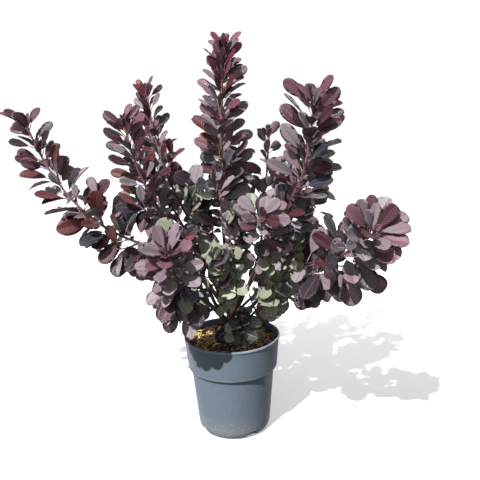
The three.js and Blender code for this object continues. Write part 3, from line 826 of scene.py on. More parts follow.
def blade_points(leaves, width, round_base, fold, curl, ripple, thickness):
    """Points of many blades at once, each a closed thin shape over two parameters.

    Along the blade its half width is share^p * (1 - share)^q, scaled to 1 where it is broadest. Across it
    the two halves rise like a shallow V, the margin ripples, and the whole bends back with the square of
    the share. The under side hangs below the upper one by the thickness, which dies out at the margin.
    """
    shares = np.concatenate([np.repeat(BLADE_SHARES, len(BLADE_ASIDE)), [0.0, 1.0]])[None]
    aside = np.concatenate([np.tile(BLADE_ASIDE, len(BLADE_SHARES)), [0.0, 0.0]])[None]
    top = np.concatenate([np.tile(BLADE_TOP, len(BLADE_SHARES)), [True, True]])[None]
    p, q = round_base[:, None], ROUND_TIP
    peak = p / (p + q)
    half = shares**p * (1 - shares) ** q / (peak**p * (1 - peak) ** q)
    length = np.array([leaf.length for leaf in leaves])[:, None]
    half = half * length * width[:, None] / 2
    phase = np.arange(len(leaves))[:, None] * RIPPLE["step"]
    rise = np.abs(aside) * half * fold[:, None] - curl[:, None] * length * shares**2
    wave = np.sin(shares * RIPPLE["waves"] + aside * RIPPLE["lean"] + phase)
    rise += ripple[:, None] * np.abs(aside) ** 2 * half * wave
    rise -= np.where(top, 0, thickness * (1 - aside**2) * np.minimum(half, 1))
    squeeze = 1 - FOLD_LOSS * fold[:, None] ** 2
    neck = np.array([leaf.neck for leaf in leaves])[:, None]
    blade = np.array([leaf.pose.blade for leaf in leaves])[:, None]
    face = np.array([leaf.pose.face for leaf in leaves])[:, None]
    wide = np.array([leaf.wide for leaf in leaves])[:, None]
    points = neck + blade * (length * shares)[..., None] + face * rise[..., None]
    points = points + wide * (aside * half * squeeze)[..., None]
    uv = np.stack([np.broadcast_to(aside / 2 + 0.5, half.shape), np.broadcast_to(shares, half.shape)], -1)
    return points, uv


def blade_shapes(mass, place, wide, round_base):
    """Width and roundness of the base of each blade, from its place on the shoot and its two draws."""
    kind = "inner" if mass.inner else "rosette" if mass.name in ROSETTES else "shoot"
    (foot, tip), wider, least, rounder = BLADE_SHAPES[kind]
    width = (lerp(foot, tip, place) + wider * wide) * NARROWER.get(mass.name, 1)
    return width, least + rounder * round_base


def dealt_tint(mass, leaf, draw):
    """The kind of a leaf: by its place on the shoot, then by a repeatable draw among the shares there."""
    s = leaf.pose.s if leaf.on_stem else TWIG_PLACE["start"] + TWIG_PLACE["length"] * leaf.pose.s
    table = SPIKE_MIX
    if mass.inner:
        table = INNER_LOW_MIX if leaf.neck[2] < LOW_LEAVES else INNER_HIGH_MIX
    table = MIXES.get(mass.name, table)
    place = s + MIX_BLUR * swing(mass.index, leaf.pose.number, DRAW["mix"])
    shares = next(mix for limit, mix in table if place < limit)
    rest = draw * sum(shares.values())
    for kind, share in shares.items():
        rest -= share
        if rest < 0:
            break
    return list(LEAF_TINTS).index(kind)


# Settings


class PotSettings(bpy.types.PropertyGroup):
    """Sizes and colours of the pot."""

    sides: bpy.props.IntProperty(
        name="Sides", description="Faces round the pot", default=144, min=24, max=400
    )
    lip_round: bpy.props.FloatProperty(
        name="Lip rounding", description="Rounding of the lip", default=0.0007, unit="LENGTH", precision=4
    )
    plastic: colour_setting("Plastic", "Colour of the clean plastic", "#606c7b")
    # Also the colour of the painted highlight along the lip
    worn: colour_setting("Worn edge", "Colour where the edges are scuffed pale", "#b4bcc2")
    dust: colour_setting("Dust", "Colour of dried dirt low on the wall", "#bcb49e")


class SoilSettings(bpy.types.PropertyGroup):
    """Sizes and colours of the soil."""

    roughness: bpy.props.FloatProperty(
        name="Roughness", description="Height of the crumbs", default=0.0024, unit="LENGTH", precision=4
    )
    chips: bpy.props.IntProperty(
        name="Chips", description="Number of bark chips", default=700, min=0, max=2000
    )
    crumbs: bpy.props.IntProperty(
        name="Crumbs", description="Number of peat crumbs", default=700, min=0, max=3000
    )
    peat: colour_setting("Peat", "Colour of damp peat", "#150f0b")
    # The golden and tan chips are paler than the bark's own colour, so that they look sunlit where leaves
    # shade them: partly painted light
    golden: colour_setting("Golden chip", "Colour of dry bark fibre", "#d6b273")
    tan: colour_setting("Tan chip", "Colour of reddish bark chips", "#cf9d83")


class WoodSettings(bpy.types.PropertyGroup):
    """Sizes and colours of the trunk, boughs and twigs."""

    relief: bpy.props.FloatProperty(
        name="Bark relief", description="Depth of the furrows", default=0.0005, unit="LENGTH", precision=4
    )
    bark: colour_setting("Bark", "Colour of the old bark", "#5a4538")
    furrow: colour_setting("Furrow", "Colour in the bark's furrows", "#33261f")
    twig: colour_setting("Twig", "Colour of a ripe twig", "#4a3733")
    shoot: colour_setting("Shoot", "Colour of this year's shoot", "#704c55")
    stalk: colour_setting("Leaf stalk", "Colour of a leaf stalk", "#a27f79")
    young_stalk: colour_setting("Young leaf stalk", "Colour of a young leaf's stalk", "#8c4f55")


class LeafSettings(bpy.types.PropertyGroup):
    """Sizes and colours of the leaves."""

    fine_share: bpy.props.FloatProperty(
        name="Finer leaves", description="Finer leaves for each leaf of the solids", default=0.8, min=0, max=4
    )
    fine_twigs: bpy.props.IntProperty(
        name="Finer twigs", description="Finer twigs on each inner stem", default=4, min=0, max=20
    )
    thickness: bpy.props.FloatProperty(
        name="Thickness", description="Thickness of a blade", default=0.0006, unit="LENGTH", precision=4
    )
    rib: colour_setting("Midrib", "Colour of the midrib", "#543d46")
    green_rib: colour_setting("Pale midrib", "Colour of the midrib on green leaves", "#7d8575")


class StageSettings(bpy.types.PropertyGroup):
    """Floor, backdrop and lights."""

    floor: colour_setting("Floor", "Colour of the floor", "#ccced3")
    glow: bpy.props.FloatProperty(
        name="Floor glow", description="How far the floor pales its shadows", default=0.34, min=0
    )
    backdrop: bpy.props.FloatProperty(
        name="Backdrop", description="Brightness of the white world", default=1.05, min=0
    )
    key: bpy.props.FloatProperty(name="Sun", description="Strength of the sun lamp", default=6.9, min=0)
    fill: bpy.props.FloatProperty(
        name="Fill light", description="Power of the fill lamps", default=16, unit="POWER"
    )
    wash: bpy.props.FloatProperty(
        name="Floor light", description="Power of the floor lamp", default=14, unit="POWER"
    )


SETTINGS = {
    "bush_pot": PotSettings,
    "bush_soil": SoilSettings,
    "bush_wood": WoodSettings,
    "bush_leaf": LeafSettings,
    "bush_stage": StageSettings,
}


def rgba(setting):
    """A colour setting with full alpha."""
    return (*setting, 1.0)


# Pot


def rounded(profile, rounding):
    """The profile with each corner that has a rounding replaced by a short curve through five points."""
    profile = np.array(profile, float)
    made = [profile[:1]]
    for before, corner, after, cut in zip(profile, profile[1:], profile[2:], rounding[1:]):
        if cut:
            start = corner + unit(before - corner) * cut
            end = corner + unit(after - corner) * cut
            made.append(bezier([start, corner, end], np.linspace(0, 1, 5)))
        else:
            made.append(corner[None])
    return np.vstack([*made, profile[-1:]])


def finer_profile(profile, step):
    """The profile with points added so that no two lie more than a step apart."""
    parts = []
    for a, b in zip(profile, profile[1:]):
        count = max(1, math.ceil(np.linalg.norm(b - a) / step))
        parts.append(lerp(a, b, np.linspace(0, 1, count, endpoint=False)[:, None]))
    return np.vstack([*parts, profile[-1:]])


def turned(profile, sides):
    """Closed shape of revolution: the profile's points carried round the axis, with its two ends on it."""
    angle = np.linspace(0, 2 * np.pi, sides, endpoint=False)
    radius, height = profile[1:-1, 0], profile[1:-1, 1]
    points = np.stack(
        [
            radius[:, None] * np.cos(angle),
            radius[:, None] * np.sin(angle),
            np.broadcast_to(height[:, None], (len(radius), sides)),
        ],
        -1,
    ).reshape(-1, 3)
    poles = [[0, 0, profile[0, 1]], [0, 0, profile[-1, 1]]]
    return np.vstack([points, poles]), ring_faces(len(radius), sides)


def pot_inside():
    """Inner radius of the pot at the heights where its wall bends."""
    wall = POT["wall"]
    return [
        (POT["foot"] - POT["foot_round"], POT["floor"]),
        (POT["foot"] - wall, POT["foot_round"] + POT["floor"]),
        (POT["body_top"] - wall, POT["collar_foot"] - POT["step"] + wall),
        (POT["collar_radius"] - wall, POT["collar_foot"] + wall),
        (POT["rim"] - POT["lip_width"] - wall, POT["height"]),
    ]


def pot_profile(lip_round):
    """Outline of the pot's wall from the axis under its floor, out, up over the lip and back inside.

    Each corner is a radius, a height and the cut that rounds it.
    """
    outside = [
        (0, 0.0, 0),
        (POT["foot"] - POT["foot_round"], 0.0, 3),
        (POT["foot"] - POT["foot_round"] * 0.32, POT["foot_round"] * 0.28, 3),
        (POT["foot"], POT["foot_round"], 4),
        (POT["body_top"], POT["collar_foot"] - POT["step"], 1.2),
        (POT["collar_radius"], POT["collar_foot"], 1.6),
        (POT["rim"] - POT["lip_width"], POT["height"] - POT["lip_height"], 0.5),
        (POT["rim"], POT["height"] - POT["lip_height"], lip_round),
        (POT["rim"], POT["height"], lip_round),
    ]
    inside = [(r, z, 0.7) for r, z in reversed(pot_inside())]
    corners = [*outside, *inside, (0, POT["floor"], 0)]
    return rounded([c[:2] for c in corners], [c[2] for c in corners])


def polypropylene(settings):
    """Moulded polypropylene, blue-grey: satin, a little cloudy, scuffed pale on its edges, a painted
    highlight on the lip, dusty low down.
    """
    made, tree, shader = new_material("polypropylene_moulded_satin")
    coords = add(tree, "ShaderNodeTexCoord").outputs["Object"]
    height = add(tree, "ShaderNodeSeparateXYZ", {0: coords}).outputs[2]
    worn, dust = rgba(settings.worn), rgba(settings.dust)
    layers = [(spots(tree, coords, 9, 4, 0.0, 0.05), worn)]
    # Pale bands on the lip and the collar's lower edge, broken up at a few millimetres: rubbed pale on both,
    # with a painted highlight on the lip
    for level, half_height, strength in RUBBED_AND_HIGHLIT:
        away = add(tree, "ShaderNodeMath", {0: height, 1: level / 1000}, operation="SUBTRACT")
        away = add(tree, "ShaderNodeMath", {0: away.outputs[0]}, operation="ABSOLUTE")
        fade = {"Value": away.outputs[0], "From Min": half_height / 1000, "From Max": 0.0}
        fade |= {"To Min": 0.0, "To Max": strength}
        band = add(tree, "ShaderNodeMapRange", fade)
        patches = spots(tree, coords, 14, 4, 0.25, 1.0)
        rub_and_highlight = add(tree, "ShaderNodeMath", {0: band.outputs[0], 1: patches}, operation="MULTIPLY")
        layers.append((rub_and_highlight.outputs[0], worn))
    # Dried splashes and specks of dirt, most of them low on the wall, and a film of dust there
    dirty = {"Value": height, "From Min": DIRT["thin_from"] / 1000, "From Max": DIRT["thick_to"] / 1000}
    dirty |= {"To Min": DIRT["least"], "To Max": 1.0}
    low = add(tree, "ShaderNodeMapRange", dirty)
    specks = add(tree, "ShaderNodeTexVoronoi", {"Vector": coords, "Scale": 1000 / 7, "Randomness": 1.0})
    round_specks = {"Value": specks.outputs["Distance"], "From Min": 0.27, "From Max": 0.13}
    round_specks |= {"To Min": 0.0, "To Max": 1.0}
    dots = add(tree, "ShaderNodeMapRange", round_specks)
    some = spots(tree, coords, 18, 3, 0.1, 1.0)
    dirt = add(tree, "ShaderNodeMath", {0: dots.outputs[0], 1: some}, operation="MULTIPLY")
    dirt = add(tree, "ShaderNodeMath", {0: dirt.outputs[0], 1: low.outputs[0]}, operation="MULTIPLY")
    film = add(tree, "ShaderNodeMath", {0: low.outputs[0], 1: DIRT["film"]}, operation="MULTIPLY")
    layers += [(dirt.outputs[0], dust), (film.outputs[0], dust)]
    tree.links.new(layered(tree, rgba(settings.plastic), layers), shader.inputs["Base Color"])
    tree.links.new(spots(tree, coords, 25, 4, 0.42, 0.58), shader.inputs["Roughness"])
    shader.inputs["Specular IOR Level"].default_value = 0.18
    fine = add(tree, "ShaderNodeTexNoise", {"Vector": coords, "Scale": 1000 / 1.5, "Detail": 3.0})
    bump = add(tree, "ShaderNodeBump", {"Height": fine.outputs["Fac"], "Strength": 0.12, "Distance": 0.0003})
    tree.links.new(bump.outputs[0], shader.inputs["Normal"])
    return made


def notch_tool():
    """The arches that the drain notches are cut with, as one mesh of closed prisms."""
    half, high = DRAIN["width"] / 2, DRAIN["height"]
    right = [(half * wide, high * up) for wide, up in DRAIN["arch"]]
    left = [(-x, z) for x, z in reversed(right)]
    arch = np.array([(-half, -DRAIN["below"]), (half, -DRAIN["below"]), *right, *left], float)
    count = len(arch)
    pile = Pile()
    for n in range(DRAIN["count"]):
        turn = math.radians(DRAIN["first"] + 360 / DRAIN["count"] * n)
        out = np.array([math.cos(turn), math.sin(turn), 0])
        side = np.array([-math.sin(turn), math.cos(turn), 0])
        front = side * arch[:, :1] + UP * arch[:, 1:] + out * (POT["foot"] + DRAIN["depth"])
        back = front - out * DRAIN["depth"] * 2
        middles = np.stack([back.mean(0), front.mean(0)])
        pile.add(np.vstack([back, front, middles]), ring_faces(2, count), (0, 0))
    mesh = bpy.data.meshes.new("notch_tool")
    mesh.from_pydata(np.vstack(pile.points) * 0.001, [], pile.faces)
    tool = bpy.data.objects.new("notch_tool", mesh)
    bpy.context.scene.collection.objects.link(tool)
    return tool


class MakePot(bpy.types.Operator):
    """Turn the pot from its profile and cut the drain notches through its lower edge"""

    bl_idname = "smoke_bush.pot"
    bl_label = "Pot"

    def execute(self, context):
        settings = context.scene.bush_pot
        profile = finer_profile(pot_profile(settings.lip_round * 1000), POT_STEP)
        points, faces = turned(profile, settings.sides)
        pile = Pile()
        pile.add(points, faces, (0, 0))
        piece = pile.build("pot_shell", [polypropylene(settings)], ["pot"])
        tool = notch_tool()
        cut = piece.modifiers.new("notches", "BOOLEAN")
        cut.operation = "DIFFERENCE"
        cut.solver = "EXACT"
        cut.object = tool
        view = context.view_layer
        view.update()
        mesh = bpy.data.meshes.new_from_object(piece.evaluated_get(context.evaluated_depsgraph_get()))
        piece.modifiers.clear()
        piece.data = mesh
        bpy.data.objects.remove(tool)
        mesh.polygons.foreach_set("use_smooth", np.ones(len(mesh.polygons), bool))
        mesh.set_sharp_from_angle(angle=math.radians(POT_SHARP))
        return {"FINISHED"}


# Soil


def soft_noise(x, y, cell, seed):
    """Smooth value noise: repeatable numbers at the corners of a square grid, eased between them."""
    gx, gy = np.floor(x / cell), np.floor(y / cell)
    fx, fy = x / cell - gx, y / cell - gy
    fx, fy = fx * fx * (3 - 2 * fx), fy * fy * (3 - 2 * fy)

    def corner(i, j):
        """The number at each corner, by the same rule as chance."""
        value = np.sin(i * CHANCE[0] + j * CHANCE[1] + seed * CHANCE[2]) * DIGITS
        return value - np.floor(value)

    low = lerp(corner(gx, gy), corner(gx + 1, gy), fx)
    high = lerp(corner(gx, gy + 1), corner(gx + 1, gy + 1), fx)
    return lerp(low, high, fy)


def soil_height(x, y, rough):
    """Height of the bed: a low mound at the stem, with crumbs of three sizes laid on it.

    The mound falls off with a power of the way out. Each layer of crumbs is noise times its own height.
    """
    out = np.hypot(x, y)
    mound = SOIL["top"] + SOIL["mound"] * np.clip(1 - (out / RELIEF["mound"]) ** RELIEF["fall"], 0, 1)
    layers = enumerate(RELIEF["crumbs"], 1)
    crumbs = sum(height * soft_noise(x, y, cell, seed) for seed, (cell, height) in layers) - RELIEF["level"]
    return mound + rough * crumbs


def pot_inner_radius(z):
    """Inner radius of the pot at the heights z, in straight lines between its bends."""
    inside = np.array(pot_inside())
    return np.interp(z, inside[:, 1], inside[:, 0])


def peat(name, colour, size):
    """Damp peat and bark mulch: dull, coarse and dark, with a grain of a few millimetres."""
    made, tree, shader = new_material(name)
    shader.inputs["Base Color"].default_value = colour
    coords = add(tree, "ShaderNodeTexCoord").outputs["Object"]
    tree.links.new(spots(tree, coords, 6, 3, 0.75, 0.98), shader.inputs["Roughness"])
    grain = add(tree, "ShaderNodeTexNoise", {"Vector": coords, "Scale": 1000 / size, "Detail": 5.0})
    bump = add(tree, "ShaderNodeBump", {"Height": grain.outputs["Fac"], "Strength": 0.9, "Distance": 0.0015})
    tree.links.new(bump.outputs[0], shader.inputs["Normal"])
    return made


class MakeSoil(bpy.types.Operator):
    """Fill the pot with a crumbly bed and scatter bark chips over it"""

    bl_idname = "smoke_bush.soil"
    bl_label = "Soil"

    def execute(self, context):
        settings = context.scene.bush_soil
        rough = settings.roughness * 1000
        self.make_bed(settings, rough)
        self.make_chips(settings, rough)
        return {"FINISHED"}

    def make_bed(self, settings, rough):
        """Rings from the underside out, up the inner wall and in over the bed, whose height is the soil's."""
        sides, over = BED["sides"], BED["over"]
        edge = pot_inner_radius(SOIL["top"]) - BED["gap"]
        levels = np.linspace(POT["floor"] + BED["over_floor"], SOIL["top"] - BED["shoulder"], BED["wall"])
        wall = pot_inner_radius(levels) - BED["gap"]
        radii = np.concatenate([BED["under"], wall, np.linspace(edge, BED["innermost"], over)])
        heights = np.concatenate([[levels[0]] * len(BED["under"]), levels, np.zeros(over)])
        angle = np.linspace(0, 2 * np.pi, sides, endpoint=False)
        x, y = radii[:, None] * np.cos(angle), radii[:, None] * np.sin(angle)
        z = np.broadcast_to(heights[:, None], x.shape).copy()
        z[-over:] = soil_height(x[-over:], y[-over:], rough)
        middle = soil_height(np.zeros(1), np.zeros(1), rough)[0]
        points = np.vstack([np.stack([x, y, z], -1).reshape(-1, 3), [[0, 0, levels[0]], [0, 0, middle]]])
        pile = Pile()
        pile.add(points, ring_faces(len(radii), sides), (0, 0))
        pile.build("soil_bed", [peat("peat_damp", rgba(settings.peat), 3)], ["soil"])

    def chip_slot(self, rng, x):
        """Chips near the stem are brown. Golden ones lie to its left and tan to its right, bright enough to
        look sunlit in shade: partly painted light.
        """
        side = (x - CHIP["middle"]) / CHIP["fade"]
        if abs(side) + rng.uniform(-CHIP["blur"], CHIP["blur"]) <= CHIP["dry"]:
            return BROWN
        return rng.choice([GOLDEN, PALE, GOLDEN, BROWN] if side < 0 else [TAN, TAN, PALE, BROWN])

    def make_chips(self, settings, rough):
        """Flat slivers and round crumbs: six-sided rings between two points, sized and turned by chance."""
        rng = np.random.default_rng(7)
        peat_colour = np.array(rgba(settings.peat))
        golden, tan = np.array(rgba(settings.golden)), np.array(rgba(settings.tan))
        pale = np.array(linear("#dcc08c"))
        materials = [
            peat("peat_crumb", tuple(peat_colour), 1.5),
            peat("bark_fibre_golden", tuple(golden), 1.2),
            peat("bark_fibre_pale", tuple(lerp(golden, pale, 0.5)), 1.2),
            peat("bark_chip_tan", tuple(tan), 1.2),
            peat("bark_chip_brown", tuple(lerp(tan, peat_colour, 0.86)), 1.2),
        ]
        shares, widths, sides = np.array(CHIP["rings"]), np.array(CHIP["widths"])[:, None], CHIP["sides"]
        angle = np.linspace(0, 2 * np.pi, sides, endpoint=False)
        pile = Pile()
        for n in range(settings.chips + settings.crumbs):
            # The square root spreads them evenly over the bed, from a tenth of the way out to its edge
            out = CHIP["spread"] * math.sqrt(rng.uniform(0.01, 1))
            turn = rng.uniform(0, 2 * math.pi)
            x, y = out * math.cos(turn), out * math.sin(turn)
            if n < settings.chips:
                length, width, thick = (rng.uniform(*CHIP[key]) for key in ("length", "width", "thick"))
                slot = self.chip_slot(rng, x)
                lift = CHIP["lift"]
            else:
                length, width, thick = rng.uniform(*CHIP["crumb"], 3) * (1, 1, CHIP["flat"])
                slot = CRUMB if rng.uniform() < CHIP["peat"] else BROWN
                lift = 0
            heading = rng.uniform(0, 2 * math.pi)
            tip = rng.uniform(-CHIP["tip"], CHIP["tip"])
            roll = rng.uniform(-CHIP["roll"], CHIP["roll"])
            along = np.array([math.cos(heading), math.sin(heading), math.sin(tip)])
            side_way = np.array([-math.sin(heading), math.cos(heading), roll])
            height = soil_height(np.array([x]), np.array([y]), rough)[0] + thick * CHIP["shows"] + lift
            swell = widths * rng.uniform(*CHIP["differ"], (len(shares), sides))
            bow = rng.uniform(-CHIP["bow"], CHIP["bow"]) * length * (1 - (shares / shares[-1]) ** 2)
            ring = (
                along * (shares * length)[:, None, None]
                + side_way * (np.cos(angle) * swell * width / 2)[..., None]
                + UP * (np.sin(angle) * swell * thick / 2 + bow[:, None])[..., None]
            )
            ends = np.stack([-along * length * 0.5, along * length * 0.5])
            points = np.vstack([ring.reshape(-1, 3), ends]) + np.array([x, y, height])
            reach = np.hypot(points[:, 0], points[:, 1])
            points[:, :2] *= np.minimum(1, CHIP["edge"] / reach)[:, None]
            pile.add(points, ring_faces(len(shares), sides), (slot, slot))
        pile.build("soil_chips", materials, [])


# Trunk and boughs


def bark_material(settings):
    """Young smoke bush bark: brown-grey, dull, with shallow furrows along the limb and pale pores."""
    made, tree, shader = new_material("smoke_bush_bark")
    coords = add(tree, "ShaderNodeTexCoord").outputs["Object"]
    stretched = add(tree, "ShaderNodeMapping", {"Vector": coords, "Scale": (1.0, 1.0, 0.22)})
    furrows = spots(tree, stretched.outputs[0], 3.2, 5, 0.0, 1.0)
    pores = add(tree, "ShaderNodeTexVoronoi", {"Vector": coords, "Scale": 1000 / 5})
    round_pores = {"Value": pores.outputs["Distance"], "From Min": 0.16, "From Max": 0.08}
    round_pores |= {"To Min": 0.0, "To Max": 0.55}
    dots = add(tree, "ShaderNodeMapRange", round_pores)
    layers = [(furrows, rgba(settings.bark)), (dots.outputs[0], linear("#a08c78"))]
    tree.links.new(layered(tree, rgba(settings.furrow), layers), shader.inputs["Base Color"])
    tree.links.new(spots(tree, coords, 8, 3, 0.7, 0.92), shader.inputs["Roughness"])
    bump = add(tree, "ShaderNodeBump", {"Height": furrows, "Strength": 0.6, "Distance": 0.0008})
    tree.links.new(bump.outputs[0], shader.inputs["Normal"])
    return made


def furrowed(radius, sides, depth, seed):
    """Radii of a limb's rings: its own radius less furrows that wander round it as they run along.

    Two slow sines of the ring's number are the wander. Five furrows and nine finer ones are sines of the
    angle with the wander added, and knots rise where a sine along the limb meets one round it.
    """
    rows = np.arange(len(radius))[:, None]
    angle = np.linspace(0, 2 * np.pi, sides, endpoint=False)[None]
    wander = 0.8 * np.sin(rows * 0.31 + seed) + 0.5 * np.sin(rows * 0.13 + seed * 2)
    relief = np.sin(angle * 5 + wander) * 0.6 + np.sin(angle * 9 - wander * 1.7 + rows * 0.2) * 0.4
    knots = np.sin(rows * 0.9 + seed) * np.sin(angle + rows * 0.4) * 0.5
    return radius[:, None] + depth * (relief + knots - 0.6)


class MakeWood(bpy.types.Operator):
    """Grow the flared trunk and the boughs, each swollen where it leaves, with furrows in their bark"""

    bl_idname = "smoke_bush.wood"
    bl_label = "Trunk and boughs"

    def execute(self, context):
        settings = context.scene.bush_wood
        depth = settings.relief * 1000
        pile = Pile()
        rings, sides = TRUNK_MESH
        s = np.linspace(0, 1, rings)
        trunk = [TRUNK["foot"], TRUNK["top"]]
        radius = furrowed(trunk_radius(s), sides, depth * TRUNK_BARK["deeper"], TRUNK_BARK["start"])
        points, faces = tube(trunk, s, radius, sides)
        # The foot is level, as the soil it stands in
        points[:sides, 2] = TRUNK["foot"][2]
        pile.add(points, faces, (0, 0))
        rings, sides = BOUGH_MESH
        s = np.linspace(0, 1, rings)
        collar = BOUGH_COLLAR["swell"] * np.exp(-s * BOUGH_COLLAR["fade"])
        radius = lerp(BOUGH["root"], BOUGH["tip"], s) + collar
        masses = all_masses()
        for mass in masses:
            if mass.bough:
                points, faces = tube(mass.bough, s, furrowed(radius, sides, depth, mass.index), sides)
                pile.add(points, faces, (0, 0))
        names = ["trunk"] + [f"bough_{m.name}" for m in masses if m.bough]
        pile.build("trunk_and_boughs", [bark_material(settings)], names)
        return {"FINISHED"}


# Twigs and leaf stalks


class MakeTwigs(bpy.types.Operator):
    """Grow each mass's stem, its twigs and the stalks that carry its leaves"""

    bl_idname = "smoke_bush.twigs"
    bl_label = "Twigs and leaf stalks"

    def execute(self, context):
        settings = context.scene.bush_wood
        leaf = context.scene.bush_leaf
        ripe, fresh = np.array(rgba(settings.twig)), np.array(rgba(settings.shoot))
        materials = [
            softwood_material("twig_ripe", tuple(ripe), 0.7),
            softwood_material("twig_turning", tuple(lerp(ripe, fresh, 0.4))),
            softwood_material("shoot_green_red", tuple(fresh)),
            softwood_material("leaf_stalk", rgba(settings.stalk)),
            softwood_material("leaf_stalk_young", rgba(settings.young_stalk)),
        ]
        for mass in grown(leaf.fine_share, leaf.fine_twigs):
            pile = Pile()
            for limb in mass.twigs:
                main = limb is mass.twigs[0]
                rings, sides = STEM_MESH if main else TWIG_MESH
                s = np.linspace(0, 1, rings)
                # Joints swell the stem a little, in even steps
                joints = 1 + JOINT["swell"] * np.maximum(np.sin(s * rings * JOINT["step"]), 0)
                radius = lerp(limb.size["root"], limb.size["tip"], s) * joints
                points, faces = tube(limb.curve, s, radius[:, None], sides)
                part = s[:-1] * (1 if main else RIPENESS["twig"])
                limits = [part < RIPENESS["ripe"], part < RIPENESS["turning"]]
                slot = np.repeat(np.select(limits, [RIPE, TURNING], FRESH), sides)
                if mass.inner:
                    slot = np.minimum(slot, TURNING)
                pile.add(points, faces, (slot, slot[-1]))
            rings, sides = STALK_MESH
            s, radius = np.linspace(0, 1, rings), np.array(LEAF_STALK["radii"])
            for one in mass.leaves:
                stalk = [
                    one.pose.root - one.pose.way * LEAF["sunk"],
                    lerp(one.pose.root, one.neck, 0.5) - one.pose.face * one.length * LEAF_STALK["sag"],
                    one.neck + one.pose.blade * one.length * LEAF_STALK["into"],
                ]
                points, faces = tube(stalk, s, radius[:, None], sides)
                young = one.on_stem and one.pose.s > LEAF_STALK["young"]
                draw = chance(mass.index, one.pose.number, DRAW["stalk"])
                red = not mass.inner and draw < LEAF_STALK["red"]
                slot = YOUNG_STALK if young or red else STALK
                pile.add(points, faces, (slot, slot))
            pile.build(f"twigs_{mass.name}", materials, [f"foliage_{mass.name}"])
        return {"FINISHED"}


# Leaves


class MakeLeaves(bpy.types.Operator):
    """Lay a blade on every leaf stalk, in the colours of its place on the shrub"""

    bl_idname = "smoke_bush.leaves"
    bl_label = "Leaves"

    def execute(self, context):
        settings = context.scene.bush_leaf
        materials = []
        grey = np.array(linear(UNDER_SIDE["grey"]))
        for kind, code in LEAF_TINTS.items():
            colour = np.array(linear(code))
            roughness, bloom = FINISH["bloomy" if kind in BLOOMY else "clean"]
            materials.append(leaf_material(f"leaf_{kind}", tuple(colour), roughness, bloom))
            under = tuple(lerp(colour, grey, UNDER_SIDE["share"]))
            materials.append(leaf_material(f"leaf_under_{kind}", under, UNDER_SIDE["roughness"]))
        materials.append(leaf_material("leaf_midrib", rgba(settings.rib), 0.5))
        materials.append(leaf_material("leaf_midrib_pale", rgba(settings.green_rib), 0.5))
        first_rib = len(materials) - 2
        green = [2 * list(LEAF_TINTS).index(kind) for kind in GREEN]
        sides = len(BLADE_ASIDE)
        quads, fans = ring_faces(len(BLADE_SHARES), sides)
        quad_part = np.tile(np.arange(sides), len(BLADE_SHARES) - 1)
        fan_part = np.tile(np.arange(sides), 2)
        for mass in grown(settings.fine_share, settings.fine_twigs):
            leaves = mass.leaves
            draws = [[chance(mass.index, one.pose.number, k) for k in DRAW["blade"]] for one in leaves]
            tints, wide, round_base, *bends = np.array(draws).T
            place = np.array([one.pose.s for one in leaves])
            width, base = blade_shapes(mass, place, wide, round_base)
            ranges = zip(BLADE_BENDS.values(), bends)
            fold, curl, ripple = (least + more * draw for (least, more), draw in ranges)
            points, uv = blade_points(leaves, width, base, fold, curl, ripple, settings.thickness * 1000)
            pile = Pile()
            for n, one in enumerate(leaves):
                tint = dealt_tint(mass, one, tints[n]) * 2
                rib = first_rib + (tint in green)
                dress = [
                    np.where(part == RIB_STRIP, rib, np.where(part >= UNDER_STRIPS, tint + 1, tint))
                    for part in (quad_part, fan_part)
                ]
                pile.add(points[n], (quads, fans), dress, uv[n])
            pile.build(f"leaves_{mass.name}", materials, [f"foliage_{mass.name}"])
        return {"FINISHED"}


# Stage


def standing(right, above, back, place):
    """Matrix of a thing at a place, from the ways of its right, its upper and its back side."""
    rows = [[right[n], above[n], back[n], place[n]] for n in range(3)]
    return Matrix([*rows, [0, 0, 0, 1]])


def lamp(name, place, target, size, power, colour):
    """Square area lamp, or the sun where its size is 0, that looks from its place to the target.

    Its back points away from the target, its right side is level, and its upper side is square to both.
    """
    light = bpy.data.lights.new(name, "AREA" if size else "SUN")
    light.energy, light.color = power, colour
    if size:
        light.size = size
    else:
        light.angle = math.radians(1.0)
    piece = bpy.data.objects.new(name, light)
    back = unit(np.array(place, float) - np.array(target, float))
    right = unit(np.cross(UP if abs(back[2]) < 0.99 else SIDE, back))
    piece.matrix_world = standing(right, np.cross(back, right), back, place)
    bpy.context.scene.collection.objects.link(piece)


def photo_camera():
    """Camera from where it stands, turned about Z, tipped down and rolled about its own axis.

    Its way forward has the yaw as its bearing and the pitch as its dip. The roll then turns its right and
    its upper side about that way.
    """
    yaw, pitch, roll = (math.radians(CAMERA[key]) for key in ("yaw", "pitch", "roll"))
    forward = np.array(
        [math.sin(yaw) * math.cos(pitch), math.cos(yaw) * math.cos(pitch), -math.sin(pitch)]
    )
    right = np.array([math.cos(yaw), -math.sin(yaw), 0])
    above = np.cross(right, forward)
    right, above = (
        right * math.cos(roll) - above * math.sin(roll),
        right * math.sin(roll) + above * math.cos(roll),
    )
    lens = bpy.data.cameras.new("photo_camera")
    lens.lens, lens.sensor_width = CAMERA["lens"], 36
    lens.clip_start, lens.clip_end = 0.01, 100
    camera = bpy.data.objects.new("photo_camera", lens)
    camera.matrix_world = standing(right, above, -forward, np.array(CAMERA["place"]) / 1000)
    bpy.context.scene.collection.objects.link(camera)
    bpy.context.scene.camera = camera


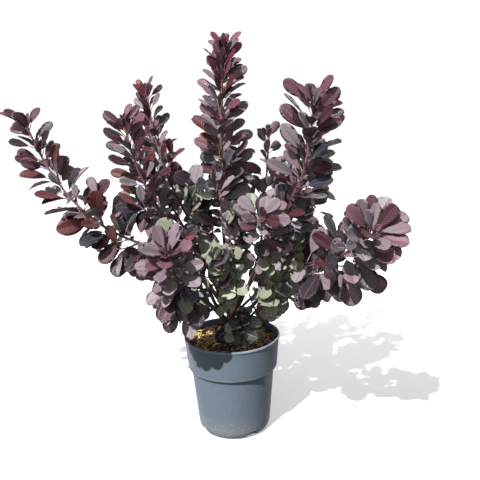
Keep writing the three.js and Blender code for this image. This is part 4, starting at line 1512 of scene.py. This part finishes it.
class MakeStage(bpy.types.Operator):
    """Set up the pale floor, the studio lights and the camera"""

    bl_idname = "smoke_bush.stage"
    bl_label = "Stage"

    def execute(self, context):
        settings = context.scene.bush_stage
        half = FLOOR_HALF
        corners = [(-half, -half, 0), (half, -half, 0), (half, half, 0), (-half, half, 0)]
        mesh = bpy.data.meshes.new("floor")
        mesh.from_pydata(corners, [], [(0, 1, 2, 3)])
        made, _, shader = new_material("floor_matte_white")
        shader.inputs["Base Color"].default_value = rgba(settings.floor)
        shader.inputs["Roughness"].default_value = 0.9
        shader.inputs["Emission Color"].default_value = (1.0, 1.0, 1.0, 1.0)
        shader.inputs["Emission Strength"].default_value = settings.glow
        mesh.materials.append(made)
        floor = bpy.data.objects.new("floor", mesh)
        # It takes the shadow but throws no light up under the leaves
        floor.visible_diffuse = False
        context.scene.collection.objects.link(floor)
        for name, (place, target, size, setting, share, colour) in LAMPS.items():
            lamp(name, place, target, size, getattr(settings, setting) * share, colour)
        world = bpy.data.worlds.new("studio")
        world.use_nodes = True
        white = world.node_tree.nodes["Background"].inputs
        white["Color"].default_value = (1.0, 1.0, 1.0, 1.0)
        white["Strength"].default_value = settings.backdrop
        context.scene.world = world
        world.cycles_visibility.diffuse = False
        context.scene.view_settings.view_transform = "Standard"
        photo_camera()
        return {"FINISHED"}


OPERATORS = (MakePot, MakeSoil, MakeWood, MakeTwigs, MakeLeaves, MakeStage)


class SmokeBushPanel(bpy.types.Panel):
    """Settings and steps of the potted smoke bush"""

    bl_idname = "VIEW3D_PT_smoke_bush"
    bl_label = "Smoke bush"
    bl_space_type = "VIEW_3D"
    bl_region_type = "UI"
    bl_category = "Smoke bush"

    def draw(self, context):
        for name, group in SETTINGS.items():
            box = self.layout.box()
            box.label(text=group.__doc__)
            for key in group.__annotations__:
                box.prop(getattr(context.scene, name), key)
        for operator in OPERATORS:
            self.layout.operator(operator.bl_idname)


def register():
    """Make the settings, operators and panel known, and give the scene its settings."""
    for group in (*SETTINGS.values(), *OPERATORS, SmokeBushPanel):
        bpy.utils.register_class(group)
    for name, group in SETTINGS.items():
        setattr(bpy.types.Scene, name, bpy.props.PointerProperty(type=group))


def unregister():
    """Take away again what register gave."""
    for name in SETTINGS:
        delattr(bpy.types.Scene, name)
    for group in reversed((*SETTINGS.values(), *OPERATORS, SmokeBushPanel)):
        bpy.utils.unregister_class(group)


def main():
    """Build every piece in order."""
    register()
    for operator in OPERATORS:
        getattr(bpy.ops.smoke_bush, operator.bl_idname.split(".")[1])()
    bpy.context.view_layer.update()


if __name__ == "__main__":
    main()
